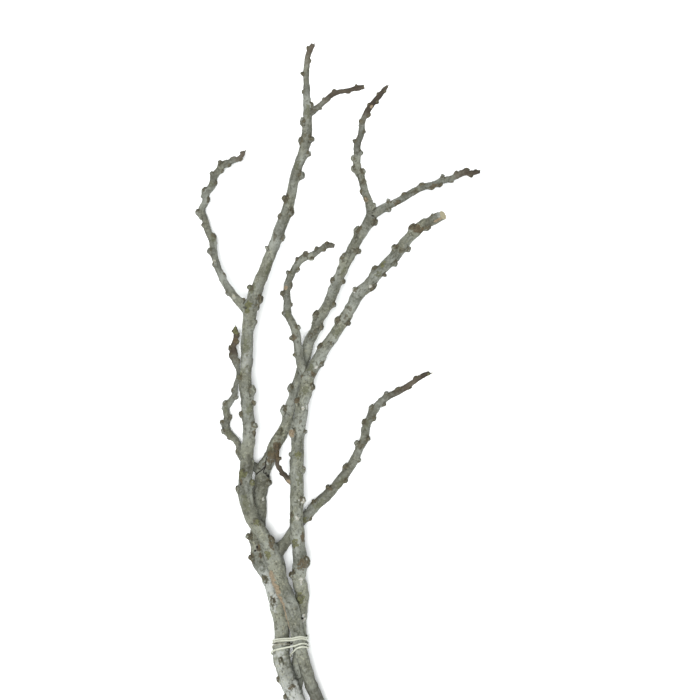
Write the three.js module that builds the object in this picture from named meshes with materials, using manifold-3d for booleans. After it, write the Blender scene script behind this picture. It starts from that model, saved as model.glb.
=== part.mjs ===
// A bunch of three cut, bare branches held near their cut ends by one elastic band.
// The bunch lies on a table: +X across it, +Y from the cut ends to the tips, +Z up. Millimetres.

import * as THREE from 'three';
import { mergeVertices } from 'three/addons/utils/BufferGeometryUtils.js';
import Module from 'manifold-3d';

const wasm = await Module();
wasm.setup();

// ---------------------------------------------------------------- driving dimensions

const growthGap = 0.3; // clear space left between two limbs that grow from each other
const stemSides = 8; // corners round a stem or a leader
const twigSides = 7; // corners round a thin twig
const thinLimb = 5.2; // a limb thinner than this at its foot counts as a twig
const ringStep = 8; // length of one straight piece of a limb
const knobReach = 5; // how far a bud knob swells the limb along its length
const bandRadius = 1.0; // half the thickness of the elastic band
const bandLift = 0.55; // clear space between the band and the bark
const bandStep = 3.5; // length of one straight piece of the band
const bandSides = 6;
const mergeReach = 1e-3; // vertices closer than this are one vertex
const endReach = 1e-4; // a share along a limb closer to 0 or 1 than this is its end
const lengthSteps = 400; // steps in which a limb's length is measured
const sectionReach = 1e-5; // how exactly the section across a stem is found

const bark = { color: '#8d8c80', roughness: 0.88 };
const youngBark = { color: '#6d5a4c', roughness: 0.8 };
const elastic = { color: '#dcd5bd', roughness: 0.6 };

// Each limb runs through points [x, y, z, radius]. A knob is [place, side, height]: place is
// counted in points along the limb, side is in degrees round it (0 right, 90 up, 180 left).
// cutBy names the limbs that it grows from, whose shape is taken out of its foot.

const limbs = {
  left_stem: {
    finish: bark,
    route: [
      [-1, -473, 9, 8.3], [-21, -422, 15, 7.8], [-35, -385.5, 19.5, 7.5],
      [-44, -364, 22.5, 7.3], [-53.6, -329, 27, 7.1], [-59.4, -302.5, 29.1, 7.7],
      [-63.5, -283.5, 29.9, 9.2], [-76, -254, 30, 9.4], [-84.8, -224.5, 30, 9.9],
      [-94.5, -202.5, 30, 7.4], [-106.4, -184.8, 30.3, 7.8], [-112, -169.5, 30.3, 8.5],
      [-114.3, -155.3, 30, 8.9], [-114.5, -140, 30, 7.7], [-113.2, -127, 30, 7.8],
      [-111.9, -109.4, 30, 6.9], [-110.5, -87.5, 30, 7], [-111.8, -67.8, 30, 6.9],
      [-112.1, -54.7, 30, 7], [-114.3, -39.4, 30, 7.6], [-113.7, -22, 30.5, 6.6],
      [-112.6, 0, 31.5, 6.8], [-111.5, 22, 33, 6.7], [-109.8, 35, 34.5, 7.6],
      [-109.3, 46, 35.6, 8.6],
    ],
    knobs: [[8.6, 10, 2], [12.2, 170, 1.6], [16.2, 10, 1.5], [18.6, 5, 1.8], [23.2, 0, 1.5]],
  },
  left_leader: {
    finish: bark,
    cutBy: ['left_stem'],
    route: [
      [-109.3, 46.4, 35.6, 8.6], [-104, 58, 37, 7.4], [-100.8, 68.6, 38.5, 7.2],
      [-94, 84.8, 41, 6.6], [-88, 100, 43.5, 6.3], [-81.3, 116, 46, 6.5],
      [-76.4, 130, 48.5, 6.6], [-69.2, 148, 52, 6.3], [-65.3, 162, 54.5, 6],
      [-60.3, 182, 58.5, 5.6], [-57.3, 193.5, 61, 5.6], [-50.6, 211.4, 64.5, 5.6],
      [-47.1, 226, 68, 6.2], [-45.6, 241.6, 71, 5.2], [-45.4, 256, 74.5, 4.6],
      [-46, 269.5, 77.5, 4.2], [-46.1, 283, 80.5, 3.4], [-46.3, 297.2, 84, 3.4],
      [-45.1, 309.3, 87, 3.3], [-41.3, 319, 89.5, 3.1], [-38.6, 324, 91, 2.7],
    ],
    knobs: [[1, 0, 2.4], [2, 175, 1.8], [7, 0, 1.8], [8.2, 180, 2], [9.8, 0, 2.4],
      [11, 0, 1.6], [12, 178, 2], [13.2, 180, 1.8], [16.8, 180, 1.5]],
  },
  left_leader_twig: {
    finish: youngBark,
    cutBy: ['left_leader'],
    route: [
      [-44.5, 251.5, 73.7, 3.9], [-38.9, 255.5, 75, 3.7], [-29.4, 263.7, 77, 3],
      [-17, 273.4, 80, 2.9], [-3.2, 276.1, 83, 2.6], [7.4, 278.1, 85.5, 2.7],
      [15.4, 279.3, 87, 2.6],
    ],
    knobs: [[3, 160, 0.8]],
  },
  left_twig: {
    finish: bark,
    cutBy: ['left_stem', 'left_leader'],
    route: [
      [-112.4, 44.7, 34.5, 6], [-118.5, 50.8, 33.5, 5.5], [-125.2, 58.5, 31.5, 4.9],
      [-134.2, 69.6, 28, 4.4], [-141.4, 82.3, 24.5, 4.1], [-147.2, 96.8, 20.5, 4],
      [-150.4, 110.8, 17, 4], [-151.8, 121.4, 14.5, 4.3], [-156.9, 132.6, 12, 4.1],
      [-160.6, 144.9, 9.5, 3.9], [-164.1, 154.6, 7.5, 4.2], [-160.7, 165.2, 6, 4],
      [-159.2, 174.7, 5, 4], [-153.1, 183.6, 4.7, 4.2], [-151, 191.9, 5, 3.9],
      [-145.2, 200.1, 6.5, 3.9], [-139.5, 206, 8, 3.9], [-132.2, 209, 10, 3.1],
      [-124.3, 211.6, 12, 2.5], [-118.7, 216.3, 14, 2.6], [-116.4, 220, 15.5, 2],
    ],
    knobs: [[7.3, 0, 1.6], [10, 175, 1.6], [12.2, 180, 1.6], [13.4, 0, 1.5], [14.6, 175, 1.5],
      [16.6, 178, 1.4]],
  },
  left_side_limb: {
    finish: bark,
    cutBy: ['left_stem'],
    route: [
      [-83, -226.5, 28.5, 7.2], [-76.7, -217.6, 25.5, 7.1], [-69.2, -208.8, 19.5, 6.6],
      [-62.3, -198.3, 14.5, 6.3], [-55.2, -189.3, 12.2, 6.2], [-48.1, -182.3, 10.8, 6.1],
      [-38.7, -172.5, 9.3, 6.1], [-26.6, -161.1, 8, 6], [-15.5, -149.6, 7, 5.6],
      [-5, -136.3, 6.3, 5.3], [2.8, -124.8, 5.8, 5.2], [8.9, -112, 5.5, 5],
      [15, -99.8, 5.3, 4.8], [17.4, -88.7, 5.1, 4.6], [20.5, -77.6, 5.1, 4.6],
      [26.1, -66.6, 5, 4.5], [33.3, -57.7, 4.8, 4.3], [42.2, -51, 4.4, 3.9],
      [52.7, -46, 4.2, 3.7], [62.1, -40.5, 4, 3.5], [72.1, -33.9, 3.6, 3.1],
      [81.6, -27.7, 3.6, 3.2], [88.3, -24.6, 3.5, 2.5],
    ],
    knobs: [[6.2, 178, 1.8], [7.4, 175, 1.8], [8.6, 0, 1.8], [9.4, 178, 1.9], [11.6, 178, 2],
      [12.2, 0, 1.8], [13.8, 176, 2], [14.4, 0, 2], [15.1, 178, 1.9], [17, 176, 1.6],
      [18.2, 178, 1.6]],
  },
  middle_stem: {
    finish: bark,
    route: [
      [-28.5, -466, 26, 10.4], [-45, -422, 27.2, 10.2], [-59, -384, 26.8, 9.8],
      [-63.2, -372, 26.4, 10.2], [-68.4, -361, 24, 9.8], [-72.1, -350, 20.4, 9.6],
      [-75.7, -337, 17, 10], [-74.7, -322, 14.8, 9], [-75.7, -305, 13, 8.6],
      [-78.5, -287, 11.8, 8.4], [-84.4, -267.5, 10.4, 8.6], [-90.5, -249, 9.8, 8.6],
      [-100.2, -233.5, 9.8, 9], [-101.8, -219, 9.6, 8.6], [-102.9, -207, 9.6, 9],
      [-101, -192.5, 9.3, 8.2], [-100.3, -177, 9.3, 8.2], [-100.2, -160.5, 9.8, 8.3],
      [-97.3, -146, 10.8, 8.5], [-96, -131, 11.8, 9.2],
    ],
    knobs: [[2.8, 178, 1.6], [4.2, 175, 1.6], [11, 178, 2], [12.4, 176, 2.2], [14, 178, 2.2],
      [18.2, 5, 1.8]],
  },
  middle_leader: {
    finish: bark,
    cutBy: ['middle_stem'],
    route: [
      [-95.8, -130.6, 11.8, 9], [-87.3, -117, 12.5, 7.4], [-84, -107, 12, 7],
      [-77.4, -95, 11.2, 7], [-71, -83, 10.6, 6.4], [-66.7, -65.3, 10.2, 6.4],
      [-62, -50, 10, 6.2], [-57, -33, 10, 6.1], [-52.7, -17.7, 11, 6], [-47.5, 0, 13, 6.1],
      [-44.6, 11, 16, 6], [-38.3, 22, 18.5, 5.9], [-33.7, 35, 22, 5.9], [-24.7, 49.3, 26.5, 6.1],
      [-17.5, 66.7, 31, 6.2], [-12.5, 79.7, 34.5, 6.3], [-4.7, 94.7, 38.5, 6.1],
      [2.2, 108.7, 42, 6.2], [9.3, 122.6, 45.5, 6], [17.9, 135.3, 49, 6.4],
      [23.6, 146, 51.5, 6.9],
    ],
    knobs: [[5, 176, 2], [11.8, 178, 2.2], [12.2, 0, 2], [14.9, 2, 1.6], [16.3, 178, 2],
      [18.6, 178, 2], [19.6, 0, 2]],
  },
  middle_left_twig: {
    finish: bark,
    cutBy: ['middle_leader'],
    route: [
      [23.2, 146.8, 51.8, 5.2], [21.4, 155, 53.2, 4.8], [20.2, 162, 54.5, 4.4],
      [15.7, 172.4, 57, 4.3], [12.2, 186, 60, 4.4], [7.6, 197.7, 62.5, 4.3],
      [7.8, 209.2, 65, 4.2], [7.9, 220.6, 68, 4], [11.8, 232, 70.5, 3.7],
      [13.7, 244.5, 73.5, 3.3], [18.1, 254.3, 76, 3.3], [25, 264, 78.5, 3.3],
      [31.9, 271.6, 81, 3.1], [36.6, 277.7, 83, 2.6], [39.8, 281, 84.5, 1.7],
    ],
    knobs: [[3, 176, 1.5], [4.3, 0, 1.8], [4.9, 178, 1.8], [6.2, 0, 1.6], [7.3, 178, 1.7]],
  },
  middle_right_twig: {
    finish: bark,
    cutBy: ['middle_leader', 'middle_left_twig'],
    route: [
      [25, 147.2, 51.5, 5.4], [34.6, 153, 50.5, 4.9], [44.4, 158.2, 47, 4.3],
      [55.4, 164, 42.5, 4.1], [66.5, 171.6, 37.5, 4.2], [78.7, 178.1, 32, 4.1],
      [92.1, 182, 26, 3.6], [102.3, 187, 21, 3.8], [113.5, 190.2, 16, 3.4],
      [123.8, 195.7, 11, 3.4], [135.2, 196.7, 6, 3], [143.8, 198.7, 3, 2.5],
    ],
    knobs: [[1.8, 178, 1.5], [1.9, 2, 1.5], [5, 176, 1.7], [7, 178, 1.6], [7, 0, 1.3],
      [9.4, 178, 1.4]],
  },
  middle_curly_twig: {
    finish: bark,
    cutBy: ['middle_stem', 'middle_leader'],
    route: [
      [-98, -131.5, 12, 6], [-105, -128.8, 12, 5.4], [-113.8, -124.4, 11.5, 4.6],
      [-120, -117.2, 11, 4], [-122.3, -107.3, 9.8, 3.8], [-125.7, -99.6, 8.5, 4.1],
      [-133.6, -92, 7, 4.2], [-137.5, -83.1, 5.8, 4.2], [-136.4, -73.8, 5, 4.2],
      [-137.5, -63.8, 4.9, 4.1], [-132, -54.9, 5.2, 3.7], [-127.4, -47.1, 6.5, 3.5],
      [-126.2, -37.6, 8, 2.7], [-123.4, -28.8, 9, 2.7], [-123.9, -20.5, 10, 2.8],
      [-126.6, -12.2, 11, 3.7], [-127.6, -3.3, 12.5, 3.9], [-128.7, 4.4, 13.5, 3.3],
      [-126.3, 12.1, 15, 3.2], [-125.6, 20.4, 16.5, 2.9], [-126.7, 26, 17.5, 2.1],
    ],
    knobs: [[6.4, 178, 1.4], [8, 0, 1.4], [9.4, 178, 1.6], [11, 0, 1.4], [16.9, 178, 1.5]],
  },
  right_stem: {
    finish: bark,
    route: [
      [-65.3, -467, 8, 7.8], [-62, -426, 7.8, 7.6], [-59.8, -387.6, 7.8, 7.4],
      [-58, -351, 9.4, 7.2], [-55.3, -326.6, 12.8, 7.1], [-54.6, -305.3, 13.5, 7.1],
      [-54.1, -287.3, 14.8, 7.3], [-52.6, -269, 17.5, 8], [-56.3, -249.7, 21, 7.9],
      [-54.9, -230.4, 25, 7.8], [-56.6, -209.2, 29, 8], [-58.6, -187, 30, 7.6],
      [-58, -163, 30, 7.9], [-58.2, -142.2, 30, 8.2], [-58, -123.6, 30, 7.8],
      [-57.5, -106, 29.5, 7.3], [-56.6, -87.6, 29, 8], [-53.6, -70, 28.5, 7.4],
      [-51.5, -54.8, 28, 7.5], [-47.8, -40.5, 28, 7.9], [-46.8, -28.6, 28.3, 8.2],
    ],
    knobs: [[8.3, 176, 2], [9.1, 5, 2.2], [12, 2, 1.4], [16, 5, 1.4], [19.2, 2, 1.8]],
  },
  right_leader: {
    finish: bark,
    cutBy: ['right_stem'],
    route: [
      [-46.8, -28.2, 28.3, 8.1], [-40.5, -19.2, 29.5, 7.3], [-35, -10.4, 31, 7.1],
      [-29.5, 0, 33, 6.8], [-21.3, 11, 36, 6.6], [-12.7, 24, 40, 6.3], [-6.5, 33.7, 43, 6.8],
      [2, 47.7, 47.5, 6.4], [8.6, 60.5, 52, 6.8], [20, 71, 56, 6.2], [28, 81.2, 60, 6.6],
      [38.6, 91.8, 64.5, 6.3], [48.3, 101.7, 68.5, 6.2], [55.5, 111, 72.5, 6.3],
      [65.6, 122.5, 77, 6], [74.4, 131.3, 81, 5.9], [85.9, 137.3, 86, 5.4],
      [95.2, 141.8, 89, 5.3], [100.6, 144.4, 90.6, 5.4],
    ],
    knobs: [[3.4, 178, 1.7], [2, 0, 1.8], [6, 178, 2], [6, 0, 1.8], [8.2, 178, 2.1],
      [9, 0, 2], [10.3, 178, 1.6], [12.5, 178, 1.9], [13.4, 0, 2], [14.6, 178, 2.4],
      [15.9, 0, 1.6]],
  },
  right_curved_twig: {
    finish: bark,
    cutBy: ['right_stem', 'right_leader'],
    route: [
      [-48.6, -27, 28.3, 6], [-52.6, -17.6, 28.5, 5.4], [-55.6, -6.6, 29.3, 5],
      [-57.4, 6.6, 30.5, 4.7], [-58.5, 16.4, 32, 4.9], [-62.2, 28.4, 34.5, 4.8],
      [-67.6, 40.3, 37, 4.4], [-68.2, 53.3, 40, 4.3], [-68.7, 64, 42.5, 4.1],
      [-66.2, 76, 45, 4.3], [-61.8, 86, 47.5, 4], [-55.2, 95.7, 50, 3.8], [-47.5, 101.5, 52.5, 4],
      [-38.8, 104, 55, 3.4], [-31.2, 109.4, 57.5, 3.1], [-23.7, 113, 60, 3.3],
      [-16.7, 112.8, 62.5, 2.7],
    ],
    knobs: [[4, 176, 1.6], [8, 178, 2], [9, 0, 1.4], [9.9, 178, 1.4], [12, 178, 1.5]],
  },
  right_spur_twig: {
    finish: youngBark,
    cutBy: ['right_stem'],
    route: [
      [-60, -145, 30, 4.4], [-65.6, -142.7, 30.5, 3.8], [-70.5, -137.3, 30.5, 2.9],
      [-75.5, -131.3, 30, 2.5], [-79, -125.9, 29, 2.5], [-80, -118.3, 27.5, 2.7],
      [-79.7, -110.2, 26.5, 2.5], [-79.7, -103.1, 26, 1.9],
    ],
    knobs: [[5, 0, 1.4]],
  },
};

// The elastic is one closed loop. Each stop is [stem, degrees round it, y], measured in the
// upright section across that stem, or a plain [x, y, z] where it crosses open space.

const bandStops = [
  // from the right edge, leftward over the left stem and down between the stems
  ['left_stem', 0, -325.6], ['left_stem', 40, -323.8], ['left_stem', 75, -323],
  ['left_stem', 110, -324.6], ['left_stem', 145, -327.8],
  ['middle_stem', 20, -335.4], ['middle_stem', -15, -337.4], ['middle_stem', -50, -338],
  ['middle_stem', -90, -337.8], ['middle_stem', -130, -336.6], ['middle_stem', -160, -335],
  // up round the middle stem and across the front to the right edge
  ['middle_stem', 180, -332.8], ['middle_stem', 150, -330.2], ['middle_stem', 120, -328],
  ['middle_stem', 98, -326.8], ['left_stem', 122, -321.8], ['left_stem', 90, -320],
  ['left_stem', 60, -319.4], ['left_stem', 30, -320.6], ['left_stem', 0, -322.3],
  // behind all three, to the upper edge of the upper pair
  ['right_stem', 0, -322.4], ['right_stem', -30, -322.4], ['right_stem', -60, -322.3],
  ['right_stem', -90, -322.2], ['middle_stem', -92, -321.2], ['middle_stem', -125, -320.8],
  ['middle_stem', -155, -320.5], ['middle_stem', 180, -320.2], ['middle_stem', 150, -318.6],
  ['middle_stem', 122, -317], ['left_stem', 120, -313.4], ['left_stem', 90, -312.2],
  ['left_stem', 60, -312], ['left_stem', 30, -313.2], ['left_stem', 0, -314.6],
  // behind again, below the other turns, to the thin low turn on the middle stem
  ['right_stem', 0, -314.9], ['right_stem', -30, -315.3], ['right_stem', -60, -315.7],
  ['right_stem', -88, -316.2], [-60, -317.8, 2.6], [-64, -320.5, 1.8], [-68, -323.4, 1.7],
  [-72, -326, 1.8], [-76, -328, 2.8], ['middle_stem', -122, -328.8],
  ['middle_stem', -150, -328.4], ['middle_stem', 180, -327], ['middle_stem', 150, -324.4],
  ['middle_stem', 120, -322.4], ['middle_stem', 90, -321.6], ['middle_stem', 60, -322],
  ['middle_stem', 30, -323], ['middle_stem', 4, -323.2],
  // down between the stems, under the right stem and back over the front, right to left
  ['right_stem', 206, -321.6], ['right_stem', 228, -319.9], ['right_stem', 250, -319.3],
  ['right_stem', -90, -319.2], ['right_stem', -60, -318.6], ['right_stem', -30, -318],
  ['right_stem', 0, -317.6], ['left_stem', 0, -317.4], ['left_stem', 30, -316],
  ['left_stem', 60, -314.8], ['left_stem', 90, -315], ['left_stem', 120, -316.2],
  ['middle_stem', 122, -319.8], ['middle_stem', 150, -321.4], ['middle_stem', 180, -323.2],
  // behind all three once more, up to where the loop began
  ['middle_stem', -155, -323.6], ['middle_stem', -125, -324.1], ['middle_stem', -92, -324.6],
  ['right_stem', -90, -325.6], ['right_stem', -60, -325.8], ['right_stem', -30, -325.8],
  ['right_stem', 0, -325.8],
];

// ---------------------------------------------------------------- limbs

function limbCurve(route) {
  const points = route.map(([x, y, z]) => new THREE.Vector3(x, y, z));
  return new THREE.CatmullRomCurve3(points, false, 'centripetal');
}

function radiusAt(route, place) {
  const index = Math.min(Math.floor(place), route.length - 2);
  return THREE.MathUtils.lerp(route[index][3], route[index + 1][3], place - index);
}

function knobHeight(knobs, along, angle) {
  let height = 0;
  for (const knob of knobs) {
    const lobe = Math.max(0, Math.cos(angle - knob.side));
    const fade = Math.exp(-(((along - knob.along) / knobReach) ** 2));
    height += knob.height * lobe * lobe * fade;
  }
  return height;
}

function placedKnobs(limb, curve) {
  const lengths = curve.getLengths(lengthSteps);
  return limb.knobs.map(([place, side, height]) => ({
    along: lengths[Math.round((place / (limb.route.length - 1)) * lengthSteps)],
    side: THREE.MathUtils.degToRad(side),
    height,
  }));
}

function endPush(along, grow) {
  if (along < endReach) {
    return -grow;
  }
  return along > 1 - endReach ? grow : 0;
}

// A closed cylinder of radius and height 1 is bent along the limb. grow makes it thicker and
// longer all round, for cutting the limbs that grow from it.
function limbGeometry(limb, grow = 0) {
  const curve = limbCurve(limb.route);
  const length = curve.getLength();
  const knobs = placedKnobs(limb, curve);
  const sides = limb.route[0][3] < thinLimb ? twigSides : stemSides;
  const geometry = new THREE.CylinderGeometry(1, 1, 1, sides, Math.round(length / ringStep));
  const position = geometry.attributes.position;
  const up = new THREE.Vector3(0, 0, 1);
  for (let i = 0; i < position.count; i += 1) {
    const along = THREE.MathUtils.clamp(position.getY(i) + 0.5, 0, 1);
    const spread = Math.hypot(position.getX(i), position.getZ(i));
    const angle = Math.atan2(position.getZ(i), position.getX(i));
    const place = curve.getUtoTmapping(along) * (limb.route.length - 1);
    const tangent = curve.getTangentAt(along);
    const right = new THREE.Vector3().crossVectors(tangent, up).normalize();
    const over = new THREE.Vector3().crossVectors(right, tangent);
    const swell = knobHeight(knobs, along * length, angle);
    const reach = spread * (radiusAt(limb.route, place) + swell + grow);
    const point = curve.getPointAt(along);
    point.addScaledVector(tangent, endPush(along, grow));
    point.addScaledVector(right, reach * Math.cos(angle));
    point.addScaledVector(over, reach * Math.sin(angle));
    position.setXYZ(i, point.x, point.y, point.z);
  }
  return geometry;
}

// ---------------------------------------------------------------- solids

function toSolid(geometry) {
  geometry.deleteAttribute('normal');
  geometry.deleteAttribute('uv');
  const merged = mergeVertices(geometry, mergeReach);
  const vertProperties = new Float32Array(merged.attributes.position.array);
  const triVerts = new Uint32Array(merged.index.array);
  return new wasm.Manifold(new wasm.Mesh({ numProp: 3, vertProperties, triVerts }));
}

function toGeometry(solid) {
  const mesh = solid.getMesh();
  const geometry = new THREE.BufferGeometry();
  geometry.setAttribute('position', new THREE.BufferAttribute(mesh.vertProperties, 3));
  geometry.setIndex(new THREE.BufferAttribute(mesh.triVerts, 1));
  return geometry;
}

function limbSolid(limb) {
  let solid = toSolid(limbGeometry(limb));
  for (const parent of limb.cutBy ?? []) {
    solid = solid.subtract(toSolid(limbGeometry(limbs[parent], growthGap)));
  }
  const pieces = solid.decompose();
  pieces.sort((a, b) => b.volume() - a.volume());
  return pieces[0];
}

// ---------------------------------------------------------------- elastic band

// Where a stem passes a given y: its centre, its radius and how it leans there.
function stemSection(name, y) {
  const { route } = limbs[name];
  const curve = limbCurve(route);
  let low = 0;
  let high = 1;
  while (high - low > sectionReach) {
    const middle = (low + high) / 2;
    if (curve.getPoint(middle).y < y) {
      low = middle;
    } else {
      high = middle;
    }
  }
  const tangent = curve.getTangent(low);
  return { centre: curve.getPoint(low), radius: radiusAt(route, low * (route.length - 1)), tangent };
}

function bandPoint(stop) {
  if (typeof stop[0] === 'number') {
    return new THREE.Vector3(...stop);
  }
  const [name, degrees, y] = stop;
  const { centre, radius, tangent } = stemSection(name, y);
  const angle = THREE.MathUtils.degToRad(degrees);
  const lift = bandLift + bandRadius;
  const wide = radius * Math.hypot(1, tangent.x / tangent.y) + lift;
  const tall = radius * Math.hypot(1, tangent.z / tangent.y) + lift;
  return new THREE.Vector3(centre.x + wide * Math.cos(angle), y, centre.z + tall * Math.sin(angle));
}

function bandGeometry() {
  const curve = new THREE.CatmullRomCurve3(bandStops.map(bandPoint), true, 'centripetal');
  const steps = Math.round(curve.getLength() / bandStep);
  return new THREE.TubeGeometry(curve, steps, bandRadius, bandSides, true);
}

// ---------------------------------------------------------------- the bunch

function addPiece(group, name, geometry, { color, roughness }) {
  const material = new THREE.MeshStandardMaterial({ color, roughness, metalness: 0 });
  const mesh = new THREE.Mesh(geometry, material);
  mesh.name = name;
  group.add(mesh);
}

// The origin is put under the middle of the bunch, on the table.
function centreOnTable(group) {
  const box = new THREE.Box3().setFromObject(group, true);
  const middle = box.getCenter(new THREE.Vector3());
  for (const mesh of group.children) {
    mesh.geometry.translate(-middle.x, -middle.y, -box.min.z);
  }
}

const bunch = new THREE.Group();
for (const [name, limb] of Object.entries(limbs)) {
  addPiece(bunch, name, toGeometry(limbSolid(limb)), limb.finish);
}
addPiece(bunch, 'tie_band', toGeometry(toSolid(bandGeometry())), elastic);
centreOnTable(bunch);

export default bunch;
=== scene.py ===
# Three bare, cut branches held near their cut ends by an elastic band, lying on a pale floor.
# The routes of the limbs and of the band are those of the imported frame, in millimetres.
import math
import random

import bpy
import numpy as np
from mathutils import Matrix, Vector, noise


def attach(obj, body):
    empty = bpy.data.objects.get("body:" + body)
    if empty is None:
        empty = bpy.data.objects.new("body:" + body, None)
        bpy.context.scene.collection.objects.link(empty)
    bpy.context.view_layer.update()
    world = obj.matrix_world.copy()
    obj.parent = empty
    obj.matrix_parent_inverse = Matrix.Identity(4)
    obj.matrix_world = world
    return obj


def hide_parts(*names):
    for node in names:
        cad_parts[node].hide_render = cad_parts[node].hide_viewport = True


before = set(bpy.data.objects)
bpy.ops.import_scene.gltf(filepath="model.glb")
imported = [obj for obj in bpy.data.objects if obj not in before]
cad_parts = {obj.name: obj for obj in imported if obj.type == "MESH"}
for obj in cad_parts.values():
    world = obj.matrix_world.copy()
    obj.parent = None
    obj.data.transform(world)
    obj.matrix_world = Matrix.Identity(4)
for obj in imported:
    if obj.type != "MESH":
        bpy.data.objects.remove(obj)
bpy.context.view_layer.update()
scene = bpy.context.scene
print("frame loaded")

mm = 0.001
middle = Vector((12.55, 75.35, -0.19))  # from the routes' own zero to the middle of the frame


# ------------------------------------------------ camera, light and floor

studio = {
    "cameraAt": (12.6, 76.0, 1836.8),
    "lens": 84.95,
    "sensor": 36,
    "farEnd": 50,
    "floorSize": 9000,
    "floorColour": (0.93, 0.945, 0.945, 1),
    "floorRoughness": 0.9,
    "floorSpecular": 0.1,
    "skyColour": (0.97, 1.0, 1.0, 1),
    "skyLow": 1.05,  # strength of the sky at the horizon
    "skyHigh": 0.3,  # and overhead
    "skyBand": (0.1, 0.45),
    "sunStrength": 4.9,
    "sunSoftness": 38,
    "sunTurn": (4, -5, 0),
}


def setCamera():
    bpy.ops.object.camera_add(location=Vector(studio["cameraAt"]) * mm, rotation=(0, 0, 0))
    camera = bpy.context.object
    camera.data.sensor_width = studio["sensor"]
    camera.data.lens = studio["lens"]
    camera.data.clip_end = studio["farEnd"]
    scene.camera = camera


def setLights():
    world = bpy.data.worlds.new("softSky")
    world.use_nodes = True
    sky = world.node_tree.nodes["Background"]
    sky.inputs["Color"].default_value = studio["skyColour"]
    # the sky is bright at the horizon and dim overhead
    aim = world.node_tree.nodes.new("ShaderNodeTexCoord")
    split = world.node_tree.nodes.new("ShaderNodeSeparateXYZ")
    fade = world.node_tree.nodes.new("ShaderNodeMapRange")
    fade.inputs["From Min"].default_value = studio["skyBand"][0]
    fade.inputs["From Max"].default_value = studio["skyBand"][1]
    fade.inputs["To Min"].default_value = studio["skyLow"]
    fade.inputs["To Max"].default_value = studio["skyHigh"]
    world.node_tree.links.new(aim.outputs["Generated"], split.inputs["Vector"])
    world.node_tree.links.new(split.outputs["Z"], fade.inputs["Value"])
    world.node_tree.links.new(fade.outputs["Result"], sky.inputs["Strength"])
    scene.world = world
    turn = [math.radians(angle) for angle in studio["sunTurn"]]
    bpy.ops.object.light_add(type="SUN", location=(0, 0, 3), rotation=turn)
    sun = bpy.context.object.data
    sun.energy = studio["sunStrength"]
    sun.angle = math.radians(studio["sunSoftness"])
    scene.view_settings.view_transform = "Standard"


# ------------------------------------------------ helpers


def clearSelection():
    if bpy.context.object and bpy.context.object.mode != "OBJECT":
        bpy.ops.object.mode_set(mode="OBJECT")
    bpy.ops.object.select_all(action="DESELECT")


def pick(thing):
    clearSelection()
    thing.select_set(True)
    bpy.context.view_layer.objects.active = thing


def joinAll(things, name):
    clearSelection()
    for thing in things:
        thing.select_set(True)
    bpy.context.view_layer.objects.active = things[0]
    bpy.ops.object.join()
    things[0].name = name
    return things[0]


def applyModifier(thing, kind, settings):
    pick(thing)
    modifier = thing.modifiers.new(kind.lower(), kind)
    for key, value in settings.items():
        setattr(modifier, key, value)
    bpy.ops.object.modifier_apply(modifier=modifier.name)


def smoothStep(value, low, high):
    share = np.clip((value - low) / (high - low), 0, 1)
    return share * share * (3 - 2 * share)


# ------------------------------------------------ the limbs
# A route point is x, y, z, radius. Knobs and marks are placed by how many route points along the
# limb they stand, and by the side in degrees round it: 0 right, 90 up, 180 left.
# A knob is place, side, model, size. A mark is place, side, kind, length, width.
# youth is where the bark starts to turn red-brown, tone how dark the bark is.

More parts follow.
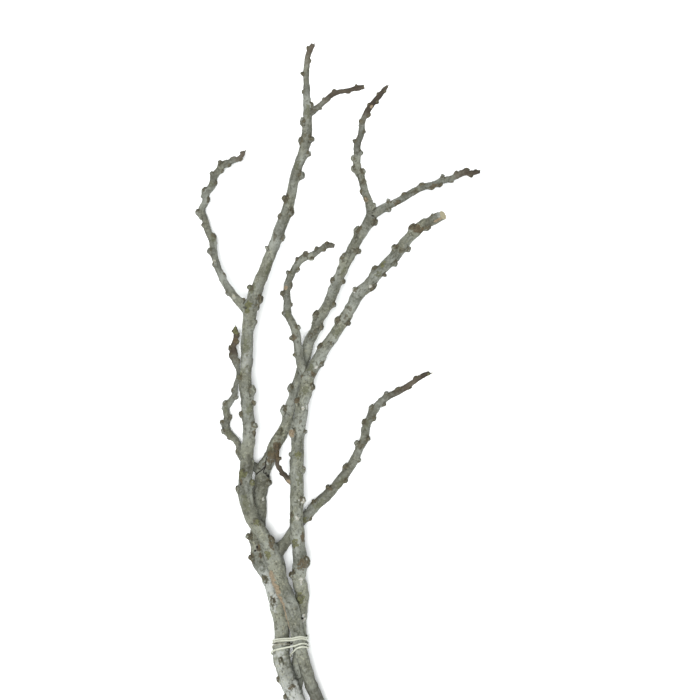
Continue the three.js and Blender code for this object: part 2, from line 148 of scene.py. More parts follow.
limbs = {
    "left_stem": {
        "route": [
            (-1, -473, 9, 8.3), (-21, -422, 15, 7.8), (-35, -385.5, 19.5, 7.5),
            (-44, -364, 22.5, 7.3), (-53.6, -329, 27, 7.1), (-59.4, -302.5, 29.1, 7.7),
            (-63.5, -283.5, 29.9, 9.2), (-76, -254, 30, 9.4), (-84.8, -224.5, 30, 9.9),
            (-94.5, -202.5, 30, 7.4), (-106.4, -184.8, 30.3, 7.8), (-112, -169.5, 30.3, 8.5),
            (-114.3, -155.3, 30, 8.9), (-114.5, -140, 30, 7.7), (-113.2, -127, 30, 7.8),
            (-111.9, -109.4, 30, 6.9), (-110.5, -87.5, 30, 7), (-111.8, -67.8, 30, 6.9),
            (-112.1, -54.7, 30, 7), (-114.3, -39.4, 30, 7.6), (-113.7, -22, 30.5, 6.6),
            (-112.6, 0, 31.5, 6.8), (-111.5, 22, 33, 6.7), (-109.8, 35, 34.5, 7.6),
            (-109.3, 46, 35.6, 8.6),
        ],
        "knobs": [
            (2.2, 150, "bud", 1.3), (8.7, 36, "cup", 2.6), (9.8, 65, "cup", 2.3),
            (12.3, 162, "bud", 1.8), (13.5, 120, "cup", 2.2), (12.7, 25, "cup", 2.0),
            (15.9, 30, "bud", 1.5), (16.2, 32, "cup", 2.3), (16.9, 162, "bud", 2.1),
            (17.8, 22, "bud", 1.7), (18.7, 32, "cup", 2.4), (19.6, 150, "cup", 2.3),
            (22.8, 15, "bud", 1.5),
        ],
        "marks": [
            (7.3, 147, "tan", 9, 7), (6.9, 143, "tan", 9, 6.5), (6.5, 141, "tan", 10, 4),
            (6.1, 148, "tan", 14, 2), (5.4, 152, "tan", 12, 1.5), (5.0, 160, "pale", 12, 2),
            (2, 80, "tone", 58, 40),
            (10.4, 80, "tone", 12, 9), (14.2, 60, "tone", 12, 6), (20.6, 60, "fair", 14, 8),
            (8.2, 115, "lichen", 5, 4), (8.5, 60, "rust", 4, 3), (9.8, 65, "lichen", 4, 4),
            (12.6, 130, "hole", 1.5, 1.1), (12.7, 25, "lichen", 4, 3.5),
            (13.5, 115, "lichen", 5, 4.5), (12.9, 125, "rust", 4, 2.4), (15.9, 30, "rust", 3.5, 2.5),
            (19.6, 165, "lichen", 4.5, 4), (21.2, 90, "moss", 8, 4), (23.8, 110, "lichen", 4, 3),
            # The dark mark at place 11.6, side 15, is painted shade in the crevice where this stem
            # lies over the middle stem.
            (11.2, 95, "moss", 9, 4), (17.2, 70, "moss", 8, 4), (11.6, 15, "dark", 10, 2),
        ],
        "tone": 0.4,
    },
    "left_side_limb": {
        "route": [
            (-83, -226.5, 28.5, 7.2), (-76.7, -217.6, 25.5, 7.1), (-69.2, -208.8, 19.5, 6.6),
            (-62.3, -198.3, 14.5, 6.3), (-55.2, -189.3, 12.2, 6.2), (-48.1, -182.3, 10.8, 6.1),
            (-38.7, -172.5, 9.3, 6.1), (-26.6, -161.1, 8, 6), (-15.5, -149.6, 7, 5.6),
            (-5, -136.3, 6.3, 5.3), (2.8, -124.8, 5.8, 5.2), (8.9, -112, 5.5, 5),
            (15, -99.8, 5.3, 4.8), (17.4, -88.7, 5.1, 4.6), (20.5, -77.6, 5.1, 4.6),
            (26.1, -66.6, 5, 4.5), (33.3, -57.7, 4.8, 4.3), (42.2, -51, 4.4, 3.9),
            (52.7, -46, 4.2, 3.7), (62.1, -40.5, 4, 3.5), (72.1, -33.9, 3.6, 3.1),
            (81.6, -27.7, 3.6, 3.2), (88.3, -24.6, 3.5, 2.5),
        ],
        "knobs": [
            (5, 18, "bud", 1.7), (6.2, 150, "cup", 2.0), (7.5, 150, "cup", 2.1),
            (8.6, 30, "cup", 1.9), (9.4, 150, "cup", 2.1), (10.5, 18, "bud", 1.6),
            (11.6, 152, "cup", 2.1), (12.2, 30, "cup", 1.9), (13.8, 150, "cup", 2.0),
            (14.4, 30, "cup", 2.0), (15.1, 150, "cup", 1.9), (16.2, 18, "bud", 1.5),
            (17, 148, "cup", 1.7), (18.2, 150, "cup", 1.6), (19.3, 18, "bud", 1.3),
            (20.2, 160, "bud", 1.3),
        ],
        "marks": [
            (4.4, 65, "lichen", 4, 4), (6.3, 80, "moss", 8, 5), (8.4, 65, "moss", 8, 4),
            (2.4, 60, "moss", 6, 5), (7.5, 130, "rust", 3, 3), (11.5, 90, "dark", 5, 2.5),
            (13.6, 100, "moss", 6, 3), (21.8, 60, "lichen", 3, 3),
        ],
        "tone": 0.95,
        "youth": 17.2,
    },
    "left_leader": {
        "route": [
            (-109.3, 46.4, 35.6, 8.6), (-104, 58, 37, 7.4), (-100.8, 68.6, 38.5, 7.2),
            (-94, 84.8, 41, 6.6), (-88, 100, 43.5, 6.3), (-81.3, 116, 46, 6.5),
            (-76.4, 130, 48.5, 6.6), (-69.2, 148, 52, 6.3), (-65.3, 162, 54.5, 6),
            (-60.3, 182, 58.5, 5.6), (-57.3, 193.5, 61, 5.6), (-50.6, 211.4, 64.5, 5.6),
            (-47.1, 226, 68, 6.2), (-45.6, 241.6, 71, 5.2), (-45.4, 256, 74.5, 4.6),
            (-46, 269.5, 77.5, 4.2), (-46.1, 283, 80.5, 3.4), (-46.3, 297.2, 84, 3.4),
            (-45.1, 309.3, 87, 3.3), (-41.3, 319, 89.5, 3.1), (-38.6, 324, 91, 2.7),
        ],
        "knobs": [
            (0.3, 36, "cup", 2.0), (1, 34, "cup", 2.6), (1.9, 150, "cup", 2.3),
            (4.6, 164, "bud", 1.6), (5.6, 18, "bud", 1.7), (6.8, 150, "cup", 2.2),
            (7.2, 38, "cup", 2.2), (8.1, 140, "cup", 2.5), (9.8, 30, "cup", 2.4),
            (11.05, 20, "cup", 1.9), (11.9, 150, "cup", 2.3), (12.1, 32, "cup", 2.3),
            (13.2, 150, "cup", 2.0), (14.4, 20, "bud", 1.5), (15.4, 162, "bud", 1.4),
            (16.8, 164, "bud", 1.6), (17.9, 18, "bud", 1.3), (19, 162, "bud", 1.3),
        ],
        "marks": [
            (0.1, 110, "lichen", 5, 4), (1.8, 135, "moss", 5, 4), (3.4, 50, "moss", 10, 3),
            (8, 125, "moss", 5, 4), (10.3, 110, "moss", 5, 3.5), (12.3, 105, "dark", 2, 2),
            (5.5, 110, "dark", 5, 3), (14, 90, "moss", 7, 3),
        ],
        "tone": 0.62,
        "youth": 17.5,
    },
    "left_leader_twig": {
        "route": [
            (-44.5, 251.5, 73.7, 3.9), (-38.9, 255.5, 75, 3.7), (-29.4, 263.7, 77, 3),
            (-17, 273.4, 80, 2.9), (-3.2, 276.1, 83, 2.6), (7.4, 278.1, 85.5, 2.7),
            (15.4, 279.3, 87, 2.6),
        ],
        "knobs": [
            (1.6, 20, "bud", 1.0), (2.3, 162, "bud", 1.1), (3.1, 165, "bud", 1.3),
            (4.2, 20, "bud", 1.0), (5.1, 162, "bud", 1.0),
        ],
        "marks": [(1, 90, "dark", 5, 3)],
        "tone": 0.7,
        "youth": 1.5,
    },
    "left_twig": {
        "route": [
            (-112.4, 44.7, 34.5, 6), (-118.5, 50.8, 33.5, 5.5), (-125.2, 58.5, 31.5, 4.9),
            (-134.2, 69.6, 28, 4.4), (-141.4, 82.3, 24.5, 4.1), (-147.2, 96.8, 20.5, 4),
            (-150.4, 110.8, 17, 4), (-151.8, 121.4, 14.5, 4.3), (-156.9, 132.6, 12, 4.1),
            (-160.6, 144.9, 9.5, 3.9), (-164.1, 154.6, 7.5, 4.2), (-160.7, 165.2, 6, 4),
            (-159.2, 174.7, 5, 4), (-153.1, 183.6, 4.7, 4.2), (-151, 191.9, 5, 3.9),
            (-145.2, 200.1, 6.5, 3.9), (-139.5, 206, 8, 3.9), (-132.2, 209, 10, 3.1),
            (-124.3, 211.6, 12, 2.5), (-118.7, 216.3, 14, 2.6), (-116.4, 220, 15.5, 2),
        ],
        "knobs": [
            (1.2, 20, "bud", 1.4), (2.6, 162, "bud", 1.4), (3.9, 18, "bud", 1.4),
            (4.8, 120, "cup", 1.6), (5.9, 150, "cup", 1.7), (7.2, 32, "cup", 1.9),
            (8.6, 162, "bud", 1.4), (9.9, 150, "cup", 1.9), (11.1, 30, "cup", 1.8),
            (12.1, 150, "cup", 1.9), (13.3, 30, "cup", 1.8), (14.3, 148, "cup", 1.8),
            (15.1, 20, "bud", 1.4), (15.9, 144, "cup", 1.7), (16.7, 20, "bud", 1.5),
            (17.5, 162, "bud", 1.5), (18.5, 20, "bud", 1.2), (19.3, 160, "bud", 1.1),
        ],
        "marks": [
            (2, 110, "pale", 3, 2.4), (5, 110, "pale", 3, 2.4), (7, 80, "moss", 5, 2.5),
            (13, 100, "moss", 5, 3),
        ],
        "tone": 0.72,
        "youth": 17.5,
    },
    "middle_stem": {
        "route": [
            (-28.5, -466, 26, 10.4), (-45, -422, 27.2, 10.2), (-59, -384, 26.8, 9.8),
            (-63.2, -372, 26.4, 10.2), (-68.4, -361, 24, 9.8), (-72.1, -350, 20.4, 9.6),
            (-75.7, -337, 17, 10), (-74.7, -322, 14.8, 9), (-75.7, -305, 13, 8.6),
            (-78.5, -287, 11.8, 8.4), (-84.4, -267.5, 10.4, 8.6), (-90.5, -249, 9.8, 8.6),
            (-100.2, -233.5, 9.8, 9), (-101.8, -219, 9.6, 8.6), (-102.9, -207, 9.6, 9),
            (-101, -192.5, 9.3, 8.2), (-100.3, -177, 9.3, 8.2), (-100.2, -160.5, 9.8, 8.3),
            (-97.3, -146, 10.8, 8.5), (-96, -131, 11.8, 9.2),
        ],
        "knobs": [
            (2.6, 158, "cup", 1.6), (3.3, 75, "bud", 1.5), (4.3, 160, "cup", 1.6),
            (5.7, 92, "cup", 1.5), (9.6, 112, "cup", 2.4), (10.9, 118, "cup", 2.3),
            (12.4, 148, "cup", 2.4), (14.1, 148, "cup", 2.6), (18.1, 32, "cup", 2.3),
            (16, 160, "bud", 1.6),
        ],
        "marks": [
            (3.3, 80, "rust", 1.2, 6), (5.7, 92, "moss", 3, 3), (9.6, 110, "pale", 3, 2.6),
            (10.9, 115, "moss", 4, 3.5), (13.3, 92, "hole", 1.4, 1.1), (12.9, 112, "hole", 1.2, 1.7),
            (12.7, 76, "rust", 8, 2), (16.8, 55, "crust", 2.5, 2), (12.2, 160, "rust", 5, 3),
            (17.6, 90, "tone", 34, 22), (14.6, 60, "tone", 24, 12),
            (2.8, 100, "fair", 48, 17), (10.5, 120, "fair", 26, 9),
        ],
        "tone": 0.1,
    },
    "middle_leader": {
        "route": [
            (-95.8, -130.6, 11.8, 9), (-87.3, -117, 12.5, 7.4), (-84, -107, 12, 7),
            (-77.4, -95, 11.2, 7), (-71, -83, 10.6, 6.4), (-66.7, -65.3, 10.2, 6.4),
            (-62, -50, 10, 6.2), (-57, -33, 10, 6.1), (-52.7, -17.7, 11, 6), (-47.5, 0, 13, 6.1),
            (-44.6, 11, 16, 6), (-38.3, 22, 18.5, 5.9), (-33.7, 35, 22, 5.9),
            (-24.7, 49.3, 26.5, 6.1), (-17.5, 66.7, 31, 6.2), (-12.5, 79.7, 34.5, 6.3),
            (-4.7, 94.7, 38.5, 6.1), (2.2, 108.7, 42, 6.2), (9.3, 122.6, 45.5, 6),
            (17.9, 135.3, 49, 6.4), (23.6, 146, 51.5, 6.9),
        ],
        "knobs": [
            (3.3, 112, "cup", 2.2), (4.9, 150, "cup", 2.4), (6.4, 150, "cup", 2.1),
            (10.5, 105, "bud", 1.7), (11.5, 30, "cup", 2.0), (12.2, 150, "cup", 2.3),
            (13.2, 28, "cup", 1.9), (14.7, 144, "cup", 1.9), (14.9, 16, "cup", 1.9),
            (16.3, 165, "cup", 2.2), (17.2, 22, "cup", 2.1), (18.4, 144, "cup", 2.2),
            (19.6, 30, "cup", 2.2),
        ],
        "marks": [
            (1.2, 50, "rust", 9, 5), (2.1, 50, "rust", 9, 5), (3.3, 112, "moss", 4, 4),
            (0.8, 90, "tone", 22, 14), (1.2, 90, "rust", 7, 5), (2.2, 80, "rust", 6, 4),
            (1.6, 110, "moss", 6, 4), (8, 90, "moss", 6, 3), (17.2, 60, "dark", 3, 4),
            (11, 80, "dark", 5, 3), (15.5, 70, "moss", 6, 3), (0.4, 60, "dark", 8, 7),
        ],
        "tone": 0.45,
    },
    "middle_left_twig": {
        "route": [
            (23.2, 146.8, 51.8, 5.2), (21.4, 155, 53.2, 4.8), (20.2, 162, 54.5, 4.4),
            (15.7, 172.4, 57, 4.3), (12.2, 186, 60, 4.4), (7.6, 197.7, 62.5, 4.3),
            (7.8, 209.2, 65, 4.2), (7.9, 220.6, 68, 4), (11.8, 232, 70.5, 3.7),
            (13.7, 244.5, 73.5, 3.3), (18.1, 254.3, 76, 3.3), (25, 264, 78.5, 3.3),
            (31.9, 271.6, 81, 3.1), (36.6, 277.7, 83, 2.6), (39.8, 281, 84.5, 1.7),
        ],
        "knobs": [
            (1.2, 18, "bud", 1.4), (2.3, 130, "cup", 1.6), (3, 162, "bud", 1.5),
            (3.7, 60, "bud", 1.4), (4.4, 34, "cup", 1.9), (4.9, 150, "cup", 1.9),
            (5.8, 150, "cup", 1.7), (6.2, 36, "cup", 1.7), (7.2, 150, "cup", 1.7),
            (8.2, 38, "cup", 1.5), (9, 160, "bud", 1.4), (9.9, 20, "bud", 1.4),
            (10.6, 162, "bud", 1.4), (11.3, 18, "bud", 1.4), (12.1, 162, "bud", 1.3),
            (12.8, 18, "bud", 1.2),
        ],
        "marks": [
            (2.3, 120, "tan", 3, 2.6), (3.7, 80, "dark", 3, 2.4), (9, 90, "dark", 2.5, 4),
            (10.6, 70, "tan", 2, 2),
        ],
        "tone": 1.0,
        "youth": 8.8,
    },
    "middle_right_twig": {
        "route": [
            (25, 147.2, 51.5, 5.4), (34.6, 153, 50.5, 4.9), (44.4, 158.2, 47, 4.3),
            (55.4, 164, 42.5, 4.1), (66.5, 171.6, 37.5, 4.2), (78.7, 178.1, 32, 4.1),
            (92.1, 182, 26, 3.6), (102.3, 187, 21, 3.8), (113.5, 190.2, 16, 3.4),
            (123.8, 195.7, 11, 3.4), (135.2, 196.7, 6, 3), (143.8, 198.7, 3, 2.5),
        ],
        "knobs": [
            (1.5, 30, "cup", 1.8), (1.9, 150, "cup", 1.8), (2.6, 70, "bud", 1.4),
            (3.4, 148, "cup", 1.7), (4.2, 60, "bud", 1.4), (5, 146, "cup", 1.8),
            (5.7, 20, "bud", 1.5), (6.4, 30, "cup", 1.7), (7, 148, "cup", 1.8),
            (7.8, 20, "bud", 1.4), (8.5, 160, "bud", 1.4), (9.4, 146, "cup", 1.6),
            (9.9, 18, "bud", 1.3), (10.5, 162, "bud", 1.2),
        ],
        "marks": [
            (2.4, 70, "rust", 4, 3), (4.2, 80, "dark", 4, 3), (5.8, 50, "rust", 5, 3),
        ],
        "tone": 0.9,
        "youth": 7.8,
    },
    "middle_curly_twig": {
        "route": [
            (-98, -131.5, 12, 6), (-105, -128.8, 12, 5.4), (-113.8, -124.4, 11.5, 4.6),
            (-120, -117.2, 11, 4), (-122.3, -107.3, 9.8, 3.8), (-125.7, -99.6, 8.5, 4.1),
            (-133.6, -92, 7, 4.2), (-137.5, -83.1, 5.8, 4.2), (-136.4, -73.8, 5, 4.2),
            (-137.5, -63.8, 4.9, 4.1), (-132, -54.9, 5.2, 3.7), (-127.4, -47.1, 6.5, 3.5),
            (-126.2, -37.6, 8, 2.7), (-123.4, -28.8, 9, 2.7), (-123.9, -20.5, 10, 2.8),
            (-126.6, -12.2, 11, 3.7), (-127.6, -3.3, 12.5, 3.9), (-128.7, 4.4, 13.5, 3.3),
            (-126.3, 12.1, 15, 3.2), (-125.6, 20.4, 16.5, 2.9), (-126.7, 26, 17.5, 2.1),
        ],
        "knobs": [
            (3.6, 162, "bud", 1.3), (5.7, 150, "bud", 1.4), (6.4, 150, "cup", 1.7),
            (7.4, 162, "bud", 1.5), (8, 32, "cup", 1.5), (9.5, 150, "cup", 1.7),
            (10.7, 24, "bud", 1.5), (11.4, 162, "bud", 1.3), (15, 20, "bud", 1.4),
            (15.8, 162, "bud", 1.5), (16.9, 150, "cup", 1.6), (17.8, 18, "bud", 1.4),
            (18.6, 30, "cup", 1.5), (19.3, 162, "bud", 1.2),
        ],
        "marks": [
            (9, 90, "moss", 8, 3), (19.4, 90, "lichen", 5, 3), (6, 90, "moss", 6, 3),
            (18, 80, "rust", 4, 3),
        ],
        "tone": 1.0,
        "youth": 15.0,
    },
    "right_stem": {
        "route": [
            (-65.3, -467, 8, 7.8), (-62, -426, 7.8, 7.6), (-59.8, -387.6, 7.8, 7.4),
            (-58, -351, 9.4, 7.2), (-55.3, -326.6, 12.8, 7.1), (-54.6, -305.3, 13.5, 7.1),
            (-54.1, -287.3, 14.8, 7.3), (-52.6, -269, 17.5, 8), (-56.3, -249.7, 21, 7.9),
            (-54.9, -230.4, 25, 7.8), (-56.6, -209.2, 29, 8), (-58.6, -187, 30, 7.6),
            (-58, -163, 30, 7.9), (-58.2, -142.2, 30, 8.2), (-58, -123.6, 30, 7.8),
            (-57.5, -106, 29.5, 7.3), (-56.6, -87.6, 29, 8), (-53.6, -70, 28.5, 7.4),
            (-51.5, -54.8, 28, 7.5), (-47.8, -40.5, 28, 7.9), (-46.8, -28.6, 28.3, 8.2),
        ],
        "knobs": [
            (6.9, 105, "cup", 2.4), (8.2, 146, "cup", 2.5), (9, 30, "cup", 2.7),
            (11.3, 130, "bud", 1.6), (12, 40, "cup", 2.2), (13.7, 24, "bud", 1.8),
            (14.6, 162, "bud", 1.5), (15.8, 135, "cup", 2.3), (16, 16, "bud", 1.6),
            (17.9, 148, "cup", 1.7), (19.1, 32, "cup", 2.3),
        ],
        "marks": [
            (5.6, 75, "hole", 1.6, 1.4), (5.5, 65, "crust", 3, 2), (5.8, 60, "crust", 2, 2),
            (6.8, 105, "lichen", 8, 6), (7.9, 65, "crust", 4, 3), (8.9, 70, "rust", 7, 5),
            (8.2, 160, "rust", 4, 3), (10.3, 40, "rust", 5, 3), (10, 125, "lichen", 6, 4),
            (11.2, 125, "moss", 5, 3), (11.2, 85, "crust", 2.6, 3), (12, 50, "crust", 3, 3),
            (14.6, 75, "lichen", 4, 4), (15.8, 130, "tan", 4, 3), (16.6, 85, "dark", 3, 2),
            (17.4, 80, "crust", 2.6, 2), (17.6, 40, "crust", 2.4, 2), (18, 135, "rust", 4, 3),
            (20, 150, "rust", 3, 2), (13.2, 60, "moss", 8, 4), (18.7, 95, "moss", 6, 4),
        ],
        "tone": 0.2,
    },
    "right_leader": {
        "route": [
            (-46.8, -28.2, 28.3, 8.1), (-40.5, -19.2, 29.5, 7.3), (-35, -10.4, 31, 7.1),
            (-29.5, 0, 33, 6.8), (-21.3, 11, 36, 6.6), (-12.7, 24, 40, 6.3),
            (-6.5, 33.7, 43, 6.8), (2, 47.7, 47.5, 6.4), (8.6, 60.5, 52, 6.8), (20, 71, 56, 6.2),
            (28, 81.2, 60, 6.6), (38.6, 91.8, 64.5, 6.3), (48.3, 101.7, 68.5, 6.2),
            (55.5, 111, 72.5, 6.3), (65.6, 122.5, 77, 6), (74.4, 131.3, 81, 5.9),
            (85.9, 137.3, 86, 5.4), (95.2, 141.8, 89, 5.3), (100.6, 144.4, 90.6, 5.4),
        ],
        "knobs": [
            (1.9, 34, "cup", 2.0), (3.2, 148, "cup", 2.0), (3.9, 60, "bud", 1.7),
            (5.8, 148, "cup", 2.3), (6, 32, "cup", 2.1), (8.2, 144, "cup", 2.1),
            (9.1, 22, "cup", 2.3), (10.3, 162, "bud", 1.7), (10.5, 22, "bud", 1.8),
            (11.6, 32, "cup", 1.9), (12.6, 148, "cup", 2.1), (13.2, 16, "cup", 2.1),
            (14.6, 150, "cup", 2.5), (15.6, 34, "cup", 2.1), (16.5, 162, "bud", 1.5),
        ],
        "marks": [
            (0.6, 50, "rust", 4, 4), (6.4, 90, "dark", 4, 3), (6.9, 100, "dark", 3, 3),
            (8.1, 140, "crust", 2.4, 2), (9.1, 60, "crust", 2, 2), (10.3, 85, "moss", 5, 4),
            (10.9, 115, "lichen", 4, 3), (12.9, 70, "dark", 3, 3), (14.7, 150, "rust", 4, 4),
            (1.2, 110, "moss", 6, 4), (4.8, 80, "moss", 6, 4), (1.5, 60, "crust", 2.5, 2),
            (14.9, 90, "rust", 5, 9), (15, 60, "dark", 5, 6), (17, 120, "fair", 6, 3),
            (16.9, 60, "tan", 7, 1.8), (16.4, 90, "tone", 16, 16),
        ],
        "tone": 0.33,
    },
    "right_curved_twig": {
        "route": [
            (-48.6, -27, 28.3, 6), (-52.6, -17.6, 28.5, 5.4), (-55.6, -6.6, 29.3, 5),
            (-57.4, 6.6, 30.5, 4.7), (-58.5, 16.4, 32, 4.9), (-62.2, 28.4, 34.5, 4.8),
            (-67.6, 40.3, 37, 4.4), (-68.2, 53.3, 40, 4.3), (-68.7, 64, 42.5, 4.1),
            (-66.2, 76, 45, 4.3), (-61.8, 86, 47.5, 4), (-55.2, 95.7, 50, 3.8),
            (-47.5, 101.5, 52.5, 4), (-38.8, 104, 55, 3.4), (-31.2, 109.4, 57.5, 3.1),
            (-23.7, 113, 60, 3.3), (-16.7, 112.8, 62.5, 2.7),
        ],
        "knobs": [
            (2.2, 162, "bud", 1.4), (3.9, 160, "cup", 1.9), (4.7, 38, "cup", 1.7),
            (6.1, 162, "bud", 1.4), (6.8, 18, "bud", 1.4), (7.9, 150, "cup", 2.1),
            (8.6, 18, "bud", 1.5), (9.7, 146, "cup", 1.6), (10.4, 20, "bud", 1.4),
            (11.2, 162, "bud", 1.4), (12.1, 142, "cup", 1.7), (12.7, 22, "bud", 1.5),
            (13.6, 160, "bud", 1.4), (14.3, 18, "bud", 1.4), (15, 148, "cup", 1.4),
        ],
        "marks": [
            (3.9, 130, "rust", 4, 3), (8.4, 110, "tan", 3, 2.6), (7.9, 160, "dark", 3, 3),
            (12.2, 120, "dark", 4, 3), (6, 90, "moss", 5, 3),
        ],
        "tone": 0.75,
        "youth": 15.0,
    },
    "right_spur_twig": {
        "route": [
            (-60, -145, 30, 4.4), (-65.6, -142.7, 30.5, 3.8), (-70.5, -137.3, 30.5, 2.9),
            (-75.5, -131.3, 30, 2.5), (-79, -125.9, 29, 2.5), (-80, -118.3, 27.5, 2.7),
            (-79.7, -110.2, 26.5, 2.5), (-79.7, -103.1, 26, 1.9),
        ],
        "knobs": [
            (2.6, 162, "bud", 1.0), (3.6, 20, "bud", 1.0), (4.9, 16, "cup", 1.5),
            (6, 158, "bud", 1.1),
        ],
        "marks": [(0.7, 110, "tan", 5, 4), (5.5, 90, "rust", 6, 4), (6.6, 90, "rust", 5, 4)],
        "tone": 0.6,
        "youth": 0.6,
    },
}

branches = {
    "left": ["left_stem", "left_side_limb", "left_leader", "left_leader_twig", "left_twig"],
    "middle": [
        "middle_stem", "middle_leader", "middle_left_twig", "middle_right_twig",
        "middle_curly_twig",
    ],
    "right": ["right_stem", "right_leader", "right_curved_twig", "right_spur_twig"],
}

growth = {
    "step": 1.5,  # one ring of the tube, along the limb
    "slim": 0.955,  # the wrinkles and knobs make up for the rest
    "wobble": 0.05,  # how uneven the radius is
    "sway": 0.45,  # how far the limb strays from its route
    "swayLength": 11,
    "wobbleRate": 1.7,  # wobbles to one sway
    "seedStep": 7.3,  # keeps the limbs' patterns apart
    "sections": 6,  # sides round a quarter of the tube
    "knobDepth": 0.36,  # how far a knob and its swelling are sunk, in its own size
    "swellingDepth": 0.56,
    "skin": 0.72,  # size of one face of the finished bark
    "smoothing": 3,
    "lumps": (9, 0.42),  # length and height of the big unevenness
    "folds": (2.6, 0.26),  # wrinkles across the limb
    "foldStretch": 2.4,
    "foldShare": 0.35,  # the wrinkles of the smoothest bark
    "grain": (1.7, 0.14),
    "floorGap": 0.05,
    "tieFrom": -340,  # the bark is worn smoother from here to there
    "tieTo": -308,
    "tieFade": 10,
    "tieWear": 0.75,
    "holeDepth": 1.3,
    "hollowRounds": 10,  # how wide around a vertex a hollow is judged
}


def curvePoint(route, place):
    index = min(int(place), len(route) - 2)
    share = place - index
    points = [Vector(stop[:3]) for stop in route]
    after = points[index + 1]
    here = points[index]
    before = points[index - 1] if index > 0 else here * 2 - after
    last = index + 2 == len(route)
    beyond = after * 2 - here if last else points[index + 2]
    spans = ((before, here), (here, after), (after, beyond))
    gaps = [math.sqrt((end - start).length) for start, end in spans]
    leave = (here - before) / gaps[0] - (after - before) / (gaps[0] + gaps[1])
    leave = (leave + (after - here) / gaps[1]) * gaps[1]
    arrive = (after - here) / gaps[1] - (beyond - here) / (gaps[1] + gaps[2])
    arrive = (arrive + (beyond - after) / gaps[2]) * gaps[1]
    square = (after - here) * 3 - leave * 2 - arrive
    cube = (here - after) * 2 + leave + arrive
    return here + leave * share + square * share**2 + cube * share**3


def radiusAt(route, place):
    index = min(int(place), len(route) - 2)
    share = place - index
    return route[index][3] * (1 - share) + route[index + 1][3] * share


# Everything that is placed on a limb is placed on its walk: a list of stations from foot to tip.
def walkLimb(name):
    route = limbs[name]["route"]
    seed = list(limbs).index(name) * growth["seedStep"]
    places = []
    for index in range(len(route) - 1):
        span = (Vector(route[index + 1][:3]) - Vector(route[index][:3])).length
        steps = max(2, round(span / growth["step"]))
        places += [index + step / steps for step in range(steps)]
    places.append(len(route) - 1)
    spots = [curvePoint(route, place) for place in places]
    along = 0.0
    walk = []
    for count, place in enumerate(places):
        ahead = spots[min(count + 1, len(spots) - 1)]
        behind = spots[max(count - 1, 0)]
        tangent = (ahead - behind).normalized()
        right = tangent.cross(Vector((0, 0, 1))).normalized()
        if count:
            along += (spots[count] - spots[count - 1]).length
        walk.append(
            {
                "place": place,
                "along": along * mm,
                "at": (spots[count] + middle) * mm,
                "tangent": tangent,
                "right": right,
                "over": right.cross(tangent),
                "radius": radiusAt(route, place) * mm,
                "seed": seed,
            }
        )
    return walk


def stationAt(walk, place):
    return min(walk, key=lambda station: abs(station["place"] - place))


def outward(station, side):
    angle = math.radians(side)
    return station["right"] * math.cos(angle) + station["over"] * math.sin(angle)


def growTube(name, walk):
    bpy.ops.curve.primitive_nurbs_path_add()
    path = bpy.context.object
    path.name = name
    path.data.splines.clear()
    spline = path.data.splines.new("POLY")
    spline.points.add(len(walk) - 1)
    for point, station in zip(spline.points, walk):
        spot = Vector((station["along"] / mm / growth["swayLength"], station["seed"], 0.5))
        sway = Vector((noise.noise(spot), noise.noise(spot + Vector((0, 0, 9))), 0))
        swell = 1 + growth["wobble"] * 2 * noise.noise(spot * growth["wobbleRate"] + Vector((3, 0, 0)))
        point.co = (*(station["at"] + sway * growth["sway"] * mm), 1)
        point.radius = station["radius"] * swell * growth["slim"]
    path.data.dimensions = "3D"
    path.data.bevel_depth = 1
    path.data.bevel_resolution = growth["sections"]
    path.data.use_fill_caps = True
    pick(path)
    bpy.ops.object.convert(target="MESH")
    return bpy.context.object


# ------------------------------------------------ buds and spurs, modelled once

spurShape = {
    "sides": 14,
    "root": (-1.2, 1.5),  # height and radius
    "neck": (0.15, 1.24),
    "rim": (0.55, 1.22),
    "brow": (0.76, 0.98),
    "cup": (0.5, 0.6),
    "bud": (0.74, 0.3),
    "lean": 24,
    "hinge": -0.4,
}

budShape = {
    "sides": 10,
    "root": (-1.2, 1.5),
    "belly": (0.1, 1.25),
    "shoulder": (0.6, 0.9),
    "tip": (0.95, 0.35),
    "lean": 40,
    "hinge": -0.4,
}

swellingShape = {
    "sides": 14,
    "rings": 10,
    "size": (1.3, 1.3, 1.0),
    "tailFrom": -0.1,
    "tail": 2.6,  # how far the rear half is drawn out
}

copyShape = {  # usual size, spread and own draw
    "width": (0.95, 0.5, 0.5),
    "length": (1.35, 0.9, 9.5),
    "height": (0.95, 0.5, 18.5),
}
copyChange = 3.1  # how fast the draws change along the limb


# A turned shape: a disc is extruded upward ring by ring, then leans toward the limb's tip.
def modelTurned(name, shape, rings):
    clearSelection()
    height, radius = shape[rings[0]]
    bpy.ops.mesh.primitive_circle_add(
        vertices=shape["sides"], radius=radius, fill_type="NGON", location=(0, 0, height)
    )
    turned = bpy.context.object
    turned.name = name
    bpy.ops.object.mode_set(mode="EDIT")
    bpy.ops.mesh.select_all(action="SELECT")
    for ring in rings[1:]:
        newHeight, newRadius = shape[ring]
        bpy.ops.mesh.extrude_region_move(
            TRANSFORM_OT_translate={"value": (0, 0, newHeight - height)}
        )
        grow = newRadius / radius
        bpy.ops.transform.resize(value=(grow, grow, 1), center_override=(0, 0, newHeight))
        height, radius = newHeight, newRadius
    bpy.ops.mesh.select_all(action="SELECT")
    bpy.ops.mesh.normals_make_consistent(inside=False)
    bpy.ops.transform.rotate(
        value=math.radians(shape["lean"]), orient_axis="X", center_override=(0, 0, shape["hinge"])
    )
    bpy.ops.object.mode_set(mode="OBJECT")
    return turned


